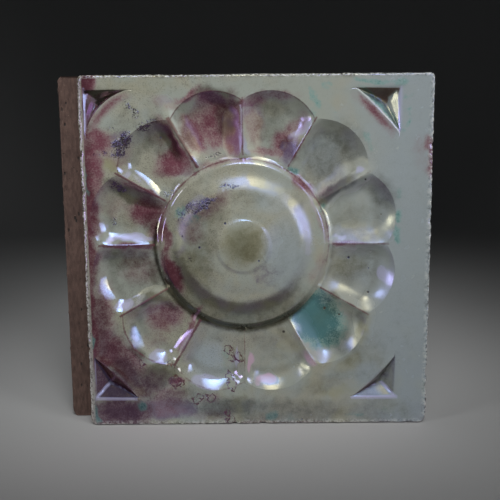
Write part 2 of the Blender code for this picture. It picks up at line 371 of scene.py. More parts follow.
def walk(m, reaches, radius):
    """Points and outward normals: side i is m from 2i to 2i + 1, and the corner follows it.

    Sides run between the ends of the pits' legs. A corner's share of m is a share of its length: straight
    on, round an arc of the radius, and straight to the start of the next side.
    """
    side = np.floor(m / 2).astype(int) % 4
    after = (side + 1) % 4
    part = m - 2 * np.floor(m / 2)
    normal = SIDE_NORMALS[side]
    onward = SIDE_NORMALS[after]
    start = -(PIT_REACHES[(side + 3) % 4] - PIT_LEG)
    end = PIT_REACHES[after] - PIT_LEG
    next_start = -(PIT_REACHES[side] - PIT_LEG)
    first = reaches[after] - radius - end
    second = reaches[side] - radius + next_start
    arc = radius * np.pi / 4
    turn = part - 1
    second_half = first + arc + (2 * turn - 1) * (second + arc)
    in_corner = np.where(turn < 0.5, 2 * turn * (first + arc), second_half)
    distance = np.where(part < 1, (start + (end - start) * part) - end, in_corner)
    before = np.minimum(distance - first, 0)
    beyond = np.maximum(distance - first - 2 * arc, 0)
    angle = np.clip((distance - first) / max(radius, 1e-6), 0, np.pi / 2)
    outward = normal * np.cos(angle)[:, None] + onward * np.sin(angle)[:, None]
    middle = normal * (reaches[side] - radius)[:, None] + onward * (reaches[after] - radius)[:, None]
    points = middle + radius * outward + onward * before[:, None] - normal * beyond[:, None]
    return points, outward


# %% [markdown]
# Which columns meet the pits
#
# Each pit takes a fan of columns from the middle of a petal, so that its deepest line lies on one
# column and its two ends lie on others. Along the sides, the columns spread out by the tangent of their
# angle, which keeps them nearly straight.

# %% Share the columns out
CORNER_COLUMNS = 24
PIT_COLUMNS = {1: (-12, 12), 4: (-12, 12), 7: (-11, 13), 10: (-13, 11)}


def outline_parameter():
    """The parameter m of every column: even steps in the corners, tangents of the angle on the sides."""
    ends = []
    for petal, offsets in PIT_COLUMNS.items():
        ends += [petal * COLUMNS + COLUMNS // 2 + offset for offset in offsets]
    total = PETALS * COLUMNS
    m = np.zeros(total)
    for side in range(4):
        start = (ends[2 * side - 1] - total * (side == 0)) % total
        stop = ends[2 * side]
        count = (stop - start) % total
        run = (start + np.arange(count + 1)) % total
        slope = np.tan(azimuth[run] - side * np.pi / 2)
        m[run] = 2 * side + (slope - slope[0]) / (slope[-1] - slope[0])
        m[stop : stop + CORNER_COLUMNS + 1] = 2 * side + 1 + np.linspace(0, 1, CORNER_COLUMNS + 1)
    return m % 8


station = outline_parameter()
print("columns in the corners:", int((station % 2 > 1).sum()))

# %% [markdown]
# The corner pits
#
# Between a petal and the slab's corner the surface first rises on a low lip, drops over a curved edge
# into a three-sided pit and comes up again to its two straight legs. Five lines say all of that: petal
# edge, chord of the lip, curved edge, valley and legs. Each is a row of the grid, so every crease is
# sharp, and the rows between two of them are drawn straight. Away from the pits the same rows close up
# and lie on the flat face.

# %% Work out the field and the pits
ROWS_TO_CHORD = 8
ROWS_ON_LIP = 4
ROWS_TO_VALLEY = 6
ROWS_TO_LEG = 7
ROWS_TO_OUTLINE = 7
FADE_COLUMNS = 8
SIDE_SHARES = (0.45, 0.62, 0.8)
END_SHARES = (0.94, 0.96, 0.98)
BODY_INSET = 0.12
PIT_HALF = PIT_LEG / math.sqrt(2)
PIT_VALLEY = PIT_HALF - PIT_DEEPEST * math.sqrt(2)


def pit_rails():
    """Five lines across the field, as points and heights, from the petals' edge to the legs' square.

    In a corner, x runs along the chord from -1 to 1, and the distance from it towards the corner is: a
    parabola for the curved edge, the parabola and a share to the deepest point for the valley, and 1 - |x|
    for the legs.
    """
    petal_line = edge_radius[:, None] * rays
    legs, _ = walk(station, PIT_REACHES, 0)
    corner = station % 2 > 1
    side = np.floor(station / 2).astype(int)
    share = np.where(corner, station % 2 - 1, 0)
    x = 2 * share - 1
    slant = 1 - np.abs(x)
    arc = 1 - x**2
    out = (SIDE_NORMALS[side] + SIDE_NORMALS[(side + 1) % 4]) / math.sqrt(2)
    chord = legs - out * (PIT_HALF * slant)[:, None]
    bulge = PIT_BULGES[side]
    curve = bulge * arc
    valley = curve + (PIT_VALLEY - bulge) * slant
    valley_height = -PIT_DEPTH / (PIT_HALF - PIT_VALLEY) * (PIT_HALF * slant - valley)
    lines = [petal_line]
    heights = [np.zeros(len(x))]
    distances = ((bulge - LIP_WIDTH) * arc, curve, valley)
    rises = (np.zeros(len(x)), LIP_HEIGHT * arc, valley_height)
    side_columns = PETALS * COLUMNS / 4 - CORNER_COLUMNS
    place = station % 2 * side_columns
    gap = np.minimum(place, side_columns - place)
    for distance, rise, rest, end in zip(distances, rises, SIDE_SHARES, END_SHARES):
        closing = end + (rest - end) * ramp(gap, 0, FADE_COLUMNS)
        beside = petal_line + (legs - petal_line) * closing[:, None]
        lines.append(np.where(corner[:, None], chord + out * distance[:, None], beside))
        heights.append(np.where(corner, rise, 0))
    lines.append(legs)
    heights.append(np.zeros(len(x)))
    return lines, heights


def rows_between(low, high, count, power=1.0):
    """count rows from just after the first line to the second, blended straight across."""
    share = (np.arange(1, count + 1) / count) ** power
    share = share.reshape((-1,) + (1,) * low.ndim)
    return low + (high - low) * share


rails, rail_heights = pit_rails()
face_outline, _ = walk(station, face_reaches(LEFT_ROLL, EDGE_ROLL + BODY_INSET), FRONT_CORNER)
rails.append(face_outline)
rail_heights.append(np.zeros(len(station)))
row_counts = (ROWS_TO_CHORD, ROWS_ON_LIP, ROWS_TO_VALLEY, ROWS_TO_LEG, ROWS_TO_OUTLINE)
row_powers = (1.4, 1, 1, 1, 1)
steps = list(zip(rails, rails[1:], row_counts, row_powers))
height_steps = list(zip(rail_heights, rail_heights[1:], row_counts, row_powers))
field_places = np.concatenate([rows_between(*step) for step in steps])
field_heights = np.concatenate([rows_between(*step) for step in height_steps])
print(len(field_places), "rows between the petals and the outline")

# %% [markdown]
# Soft edges
#
# Glaze draws back from a sharp edge and fills a sharp corner, so no ridge on the tile is a knife edge.
# A few passes that mix each height with its neighbours do the same to the grid. The edges stay finest
# where the rows and columns lie closest, just where the real ones are finest.

# %% Join the rings and soften them
PASSES_ALONG = 3
PASSES_ACROSS = 2
FIRST_SOFT = BOSS_RINGS - 3

ring_places = np.concatenate(
    [boss_radii[:, None, None] * rays, petal_radii[:, :, None] * rays, field_places]
)
arris_ends = petal_height(0.0, across) - ARRIS_SLOPE * (BOSS_RADIUS - boss_radii)[:, None]
ring_heights = np.concatenate(
    [np.maximum(boss_heights[:, None], arris_ends), petal_heights, field_heights]
)


def softened(heights, first, along_passes, across_passes):
    """Heights mixed 1 : 2 : 1 with both neighbours, along the rays and round the rings, from row first."""
    for _ in range(along_passes):
        inner = heights[first - 1 : -2]
        outer = heights[first + 1 :]
        mixed = (inner + 2 * heights[first:-1] + outer) / 4
        heights = np.concatenate([heights[:first], mixed, heights[-1:]])
    for _ in range(across_passes):
        before = np.roll(heights, 1, axis=1)
        behind = np.roll(heights, -1, axis=1)
        heights = (before + 2 * heights + behind) / 4
    return heights


ring_heights = softened(ring_heights, FIRST_SOFT, PASSES_ALONG, PASSES_ACROSS)
print("the deepest point lies", -ring_heights.min().round(2), "mm behind the face")

# %% [markdown]
# The rolled edge and the wall
#
# At its edges the face rolls over into the walls: widely at the left, tightly elsewhere. The roll is a
# quarter of an ellipse carried round the outline. Here the glaze gathered in a rough bead, which needs
# a finer mesh, so these rings have twice as many points as the face.

# %% Roll the edge over
ROLL_RINGS = 8
WALL_RINGS = 9
OVERLAP = 2.0

to_next = (np.roll(station, -1) - station) % 8
fine_station = (np.repeat(station, 2) + np.tile([0, 0.5], len(station)) * np.repeat(to_next, 2)) % 8


def edge_rings():
    """Points and outward directions of the roll and the wall, ring by ring, in the tile's x, y and z."""
    angles = np.arange(1, ROLL_RINGS + 1) / ROLL_RINGS * np.pi / 2
    wall = np.linspace(ROLL_DEPTH, FRONT_THICKNESS + OVERLAP, WALL_RINGS + 1)[1:]
    depths = np.concatenate([ROLL_DEPTH * (1 - np.cos(angles)), wall])
    insets = np.concatenate([1 - np.sin(angles), np.zeros(WALL_RINGS)])
    tilts = np.concatenate([angles, np.full(WALL_RINGS, np.pi / 2)])
    rings = []
    normals = []
    for depth, inset, tilt in zip(depths, insets, tilts):
        reaches = face_reaches(LEFT_ROLL * inset, EDGE_ROLL * inset + BODY_INSET)
        points, outward = walk(fine_station, reaches, FRONT_CORNER)
        rings.append(in_tile(points, -depth))
        sideways = outward * np.sin(tilt)
        forward = np.full(len(outward), -np.cos(tilt))
        normals.append(np.stack([sideways[:, 0], forward, sideways[:, 1]], axis=-1))
    return np.array(rings), np.array(normals)


def in_tile(places, heights):
    """Places on the face and heights above it, turned into the tile's own x, y and z."""
    x, z = np.moveaxis(places, -1, 0)
    y = np.broadcast_to(FACE - heights, x.shape)
    return np.stack([ROSETTE_SHIFT + x, y, ROSETTE_HEIGHT + z], axis=-1)


face_points = in_tile(ring_places, ring_heights)
edge_points, edge_normals = edge_rings()
print("roll and wall:", edge_points.shape[0], "rings of", edge_points.shape[1])

# %% [markdown]
# Glaze and clay that are not quite flat
#
# Three things break the mould's clean shape: broad waves, where the slab dried unevenly, beads of glaze
# along the outer edge, and a few accidents that belong to this one tile, such as warts, crusts and
# chips. The first two are noise, and the accidents are a short list of places. Each point moves along
# its own outward direction.

# %% Add waves, beads, warts and chips
RIM_WIDTH = 1.7
RIM_DEPTH = 3.5
BEAD_HEIGHT = 0.55
BEAD_GRIT = 0.22
BEAD_SINK = 0.08

# Each size of wave: height, size and seed
WAVES = ((0.14, 31, 1), (0.06, 10, 2), (0.012, 2.6, 3))

# Each bump and each chip: across and up from the rosette's middle, radius, and height or depth
BUMPS = (
    (-83.5, 60, 1.6, 0.7), (-81, 57.5, 1.2, 0.4), (-67.5, 56, 2.2, 0.5), (-70, 33, 1.8, 0.4),
    (-24, 23, 1.5, 0.3), (-11, 29.5, 1.2, 0.25), (-62, -97, 2, 0.35), (16, -100, 1.6, 0.3),
)
CHIPS = (
    (105, -75, 2.4, 1.3), (105.4, -84, 1.6, 1.6), (105.2, -55, 1.1, 0.7), (105.2, 12, 1.2, 0.6),
    (105.2, 55, 1.3, 0.7), (104.6, -104.6, 2.2, 0.9), (10, -105.5, 1.8, 0.8), (-6, -105.6, 1.5, 0.9),
    (-90, -60, 1.4, 0.7), (-90, 52, 1.3, 0.8), (-89.5, 30, 1.5, 0.6),
)


def bell(distance, width):
    """A bell-shaped curve, exp(-(distance / width)**2)."""
    return np.exp(-((distance / width) ** 2))


def from_outline(x, z):
    """How far inside the glazed slab's outline a point lies, in mm."""
    return np.minimum(np.minimum(RIGHT - x, x - FRONT_LEFT), np.minimum(HEIGHT - z, z))


def mounds(points, table):
    """The sum of bell-shaped mounds: each row gives a place on the face, a radius and a height."""
    total = np.zeros(points.shape[:-1])
    for across_mm, up_mm, radius, rise in table:
        x = points[..., 0] - ROSETTE_SHIFT - across_mm
        z = points[..., 2] - ROSETTE_HEIGHT - up_mm
        total += rise * bell(np.hypot(x, z), radius)
    return total


def glaze_relief(points):
    """How far the glaze stands out from the mould's shape: waves, a beaded rim and warts, less chips."""
    x, y, z = np.moveaxis(points, -1, 0)
    inside = np.maximum(from_outline(x, z) - BODY_INSET, 0)
    rim = bell(inside, RIM_WIDTH) * bell(np.maximum(y - FACE, 0), RIM_DEPTH)
    waves = sum(height * grain(points, size, seed) for height, size, seed in WAVES)
    beads = np.maximum(grain(points, 2.4, seed=4), 0) * BEAD_HEIGHT
    lumps = beads + BEAD_GRIT * grain(points, 1.3, seed=5) - BEAD_SINK
    return waves + rim * lumps + mounds(points, BUMPS) - mounds(points, CHIPS)


face_points[..., 1] -= glaze_relief(face_points)
edge_points += edge_normals * glaze_relief(edge_points)[..., None]
print("beads stand out by up to", glaze_relief(edge_points).max().round(2), "mm")

# %% [markdown]
# From rings of points to a mesh
#
# Rings of points become a mesh by joining each one to the next. Where two rings have the same number of
# points, the faces are four-sided. Where the outer ring has twice as many, three triangles fill each
# step, so the mesh gets finer without a seam. A fan of triangles closes the pole in the middle, and one
# flat face closes the back.

# %% Join the rings
MERGE = 0.002
SKIN_INSET = 0.05
BUTTON_INSET = 0.02


def join_rings(counts):
    """Faces between rings listed outwards, after a pole, as index arrays of 3 and of 4 columns."""
    starts = np.cumsum([1] + list(counts))
    first = np.arange(counts[0]) + 1
    triangles = [np.stack([np.zeros_like(first), first, np.roll(first, -1)], axis=-1)]
    squares = []
    for start, count, next_start, next_count in zip(starts, counts, starts[1:], counts[1:]):
        inner = start + np.arange(count)
        inner_next = np.roll(inner, -1)
        outer = next_start + np.arange(next_count)
        if next_count == count:
            squares.append(np.stack([inner, outer, np.roll(outer, -1), inner_next], axis=-1))
        else:
            even_points = outer[::2]
            odd_points = outer[1::2]
            later = np.roll(even_points, -1)
            triangles.append(np.stack([inner, even_points, odd_points], axis=-1))
            triangles.append(np.stack([inner, odd_points, inner_next], axis=-1))
            triangles.append(np.stack([odd_points, later, inner_next], axis=-1))
    return np.concatenate(triangles), np.concatenate(squares), starts


def mesh_object(name, points, faces):
    """A linked object from points in millimetres and lists of corners, with its doubled points merged."""
    mesh = bpy.data.meshes.new(name)
    mesh.from_pydata((points * MM).tolist(), [], faces)
    work = bmesh.new()
    work.from_mesh(mesh)
    bmesh.ops.remove_doubles(work, verts=work.verts, dist=MERGE * MM)
    bmesh.ops.recalc_face_normals(work, faces=work.faces)
    work.to_mesh(mesh)
    work.free()
    return placed(name, mesh)


def front_slab():
    """The glazed slab: pole, face rings, roll and wall, closed flat behind."""
    pole = in_tile(np.zeros((1, 2)), np.array([BUTTON_HEIGHT]))
    pole[..., 1] -= glaze_relief(pole)
    counts = [face_points.shape[1]] * len(face_points) + [edge_points.shape[1]] * len(edge_points)
    triangles, squares, starts = join_rings(counts)
    points = np.concatenate([pole, face_points.reshape(-1, 3), edge_points.reshape(-1, 3)])
    low = (LEFT + SKIN_INSET, tile_low[1] + BUTTON_INSET, SKIN_INSET)
    high = (RIGHT - SKIN_INSET, BACK, HEIGHT - SKIN_INSET)
    lid = list(range(starts[-2], starts[-1]))
    faces = triangles.tolist() + squares.tolist() + [lid]
    return mesh_object("stoneware_tile", np.clip(points, low, high), faces)


tile = front_slab()
print("the glazed slab has", len(tile.data.polygons), "faces")

# %% [markdown]
# The bare slab behind
#
# The rear slab is plain clay, struck off flat, with rounded edges and long wire-drag marks. It is one
# closed line, its plan seen from above, carried up the height of the tile. Its rows and columns also
# fall on the edges of the six grooves across the back, which key the tile into its mortar, so those
# need no cutting.

# %% Build the rear slab
CLAY_INSET = 0.2
CLAY_ROUND = 0.9
CLAY_STEP = 0.8
CLAY_ROW = 1.6
BACK_STEP = 9.0
SIDE_STEP = 2.5

# How far the plan stands behind the ledge, runs past the rebate and goes in under the glazed slab, the place
# of one hidden point, and how far round corners and dragged clay reach in from the left
LEDGE_INSET = 0.02
PAST_REBATE = 1.0
UNDER_FRONT = 6.0
HIDDEN_MIDDLE = 30.0
CORNER_FADE = 12.0
SMOOTH_BACK = 4.0

KEY_PITCH = (HEIGHT - 2 * KEY_MARGIN) / KEY_GROOVES


def filled(stations, step):
    """The stations with even places added between them, so that no gap is longer than the step."""
    places = []
    for low, high in zip(stations, stations[1:]):
        count = max(1, math.ceil(abs(high - low) / step))
        places.append(low + (high - low) * np.arange(count) / count)
    return np.concatenate(places + [[stations[-1]]])


def unit(vectors):
    """The same directions with a length of one."""
    return vectors / np.linalg.norm(vectors, axis=1)[:, None]


def plan_line():
    """The rear slab's plan as points and outward normals: ledge, left side, back and right side."""
    left = LEFT + CLAY_INSET
    right = REBATE_LEFT + PAST_REBATE
    front = LEDGE + LEDGE_INSET
    back = BACK - CLAY_INSET
    mouth = (LEFT + KEY_MARGIN, REBATE_LEFT - KEY_MARGIN)
    groove = (mouth[0], mouth[0] + KEY_SLOPE, mouth[1] - KEY_SLOPE, mouth[1])
    ledge_x = filled((FRONT_LEFT + UNDER_FRONT, left + CLAY_ROUND), CLAY_STEP)
    left_y = filled((front + CLAY_ROUND, back - CLAY_ROUND), CLAY_STEP)
    back_x = filled((left + CLAY_ROUND, *groove, right - CLAY_ROUND), BACK_STEP)
    right_y = filled((back - CLAY_ROUND, front), SIDE_STEP)
    bend = np.linspace(0, np.pi / 2, 6)[1:-1]
    early = CLAY_ROUND * (1 - np.sin(bend))
    late = CLAY_ROUND * (1 - np.cos(bend))
    runs = (
        ((right, HIDDEN_MIDDLE), front),
        (ledge_x, front),
        (left + early, front + late),
        (left, left_y),
        (left + late, back - early),
        (back_x, back),
        (right - early, back - late),
        (right, right_y[:-1]),
    )
    points = np.concatenate([np.stack(np.broadcast_arrays(x, y), axis=-1) for x, y in runs])
    ahead = unit(np.roll(points, -1, axis=0) - points)
    behind = unit(points - np.roll(points, 1, axis=0))
    heading = ahead + behind
    return points, unit(np.stack([heading[:, 1], -heading[:, 0]], axis=-1))


def groove_depth(x, z):
    """How deep the key grooves are over the back: flat floors with sloping sides and ends."""
    offset = (z - KEY_MARGIN) % KEY_PITCH - KEY_PITCH / 2
    within = (z > KEY_MARGIN) & (z < HEIGHT - KEY_MARGIN)
    side = (KEY_WIDTH / 2 - np.abs(offset)) / KEY_SLOPE
    end = np.minimum(x - LEFT - KEY_MARGIN, REBATE_LEFT - KEY_MARGIN - x) / KEY_SLOPE
    return KEY_DEPTH * np.clip(np.minimum(side, end), 0, 1) * within


def clay_relief(points):
    """Bare clay: broad waves, long drag marks, and small pits in upright lines."""
    waves = 0.10 * grain(points, 22, seed=11)
    drags = 0.09 * grain(points, (1.6, 1.6, 9), seed=12) + 0.05 * grain(points, 1.5, seed=13)
    pits = 0.45 * ramp(grain(points, (1.3, 1.3, 3.2), seed=14), 0.42, 0.8)
    return waves + drags - pits


def slab_rows():
    """The heights of the rows and how far each is inset: they crowd at both ends, where edges are round."""
    stations = [CLAY_INSET + CLAY_ROUND]
    for index in range(KEY_GROOVES):
        middle = KEY_MARGIN + KEY_PITCH * (index + 0.5)
        stations += [middle - KEY_WIDTH / 2, middle - KEY_WIDTH / 2 + KEY_SLOPE]
        stations += [middle + KEY_WIDTH / 2 - KEY_SLOPE, middle + KEY_WIDTH / 2]
    stations.append(HEIGHT - CLAY_INSET - CLAY_ROUND)
    middle_rows = filled(stations, CLAY_ROW)
    bend = np.linspace(0, np.pi / 2, 5)[:-1]
    low_rows = CLAY_INSET + CLAY_ROUND * (1 - np.cos(bend))
    inset = CLAY_ROUND * (1 - np.sin(bend))
    rows = np.concatenate([low_rows, middle_rows, HEIGHT - low_rows[::-1]])
    return rows, np.concatenate([inset, np.zeros(len(middle_rows)), inset[::-1]])


def rear_slab():
    """The plan line carried up the rows, with round corners at the left, relief and key grooves."""
    plan, normals = plan_line()
    rows, insets = slab_rows()
    end_gap = np.minimum(rows, HEIGHT - rows)
    corner = REAR_CORNER - np.sqrt(REAR_CORNER**2 - np.maximum(REAR_CORNER - end_gap, 0) ** 2)
    flat = plan[None] - normals[None] * insets[:, None, None]
    shift = corner[:, None] * np.clip(1 - (flat[..., 0] - LEFT) / CORNER_FADE, 0, 1)
    x = flat[..., 0] + shift
    z = np.broadcast_to(rows[:, None], x.shape)
    points = np.stack([x, flat[..., 1], z], axis=-1)
    on_back = (normals[None, :, 1] > 0.9) & (x > LEFT + SMOOTH_BACK)
    relief = np.where(on_back, 0.12 * grain(points, 34, seed=15) - 0.1, clay_relief(points))
    relief = np.where(normals[None, :, 0] > 0.9, 0, relief)
    points[..., :2] += normals[None] * relief[..., None]
    points[..., 1] -= np.where(on_back, groove_depth(x, z), 0)
    index = np.arange(x.size).reshape(x.shape)
    around = np.roll(index, -1, axis=1)
    squares = np.stack([index[:-1], around[:-1], around[1:], index[1:]], axis=-1).reshape(-1, 4)
    caps = [index[0].tolist(), index[-1].tolist()]
    points = np.clip(points.reshape(-1, 3), (LEFT, FACE, 0), (RIGHT, BACK, HEIGHT))
    return mesh_object("rear_slab", points, squares.tolist() + caps)


rear = rear_slab()
print("the rear slab has", len(rear.data.polygons), "faces")

# %% [markdown]
# One piece of clay
#
# The tile was pressed as one lump, so its mesh is one closed skin too. A Boolean union joins the two
# slabs where they run through each other, and a difference cuts the rebate that the next tile's ledge
# slides into. The EXACT solver keeps the skin closed. The modifiers are applied, so that the paint
# below can read the finished points.

# %% Join the slabs and cut the rebate


def box_object(name, low, high):
    """A closed box between two corners, in millimetres."""
    x, y, z = np.meshgrid(*zip(low, high), indexing="ij")
    points = np.stack([x.ravel(), y.ravel(), z.ravel()], axis=-1)
    faces = [(0, 1, 3, 2), (4, 6, 7, 5), (0, 4, 5, 1), (2, 3, 7, 6), (0, 2, 6, 4), (1, 5, 7, 3)]
    return mesh_object(name, points, faces)


def combine(thing, tool, operation):
    """Join a shape to the thing or cut it away for good, and remove the shape."""
    modifier = thing.modifiers.new(operation, "BOOLEAN")
    modifier.operation = operation
    modifier.solver = "EXACT"
    modifier.object = tool
    depsgraph = bpy.context.evaluated_depsgraph_get()
    mesh = bpy.data.meshes.new_from_object(thing.evaluated_get(depsgraph))
    thing.modifiers.clear()
    thing.data = mesh
    bpy.data.objects.remove(tool)


rebate_high = (RIGHT + OVERLAP, BACK + OVERLAP, HEIGHT + OVERLAP)
rebate = box_object("rebate", (REBATE_LEFT, REBATE, -OVERLAP), rebate_high)
combine(tile, rear, "UNION")
print("joined:", len(tile.data.polygons), "faces")
combine(tile, rebate, "DIFFERENCE")
tile.data.name = "stoneware_tile"
triangle_count = sum(len(face.vertices) - 2 for face in tile.data.polygons)
print("the joined tile has", triangle_count, "triangles")
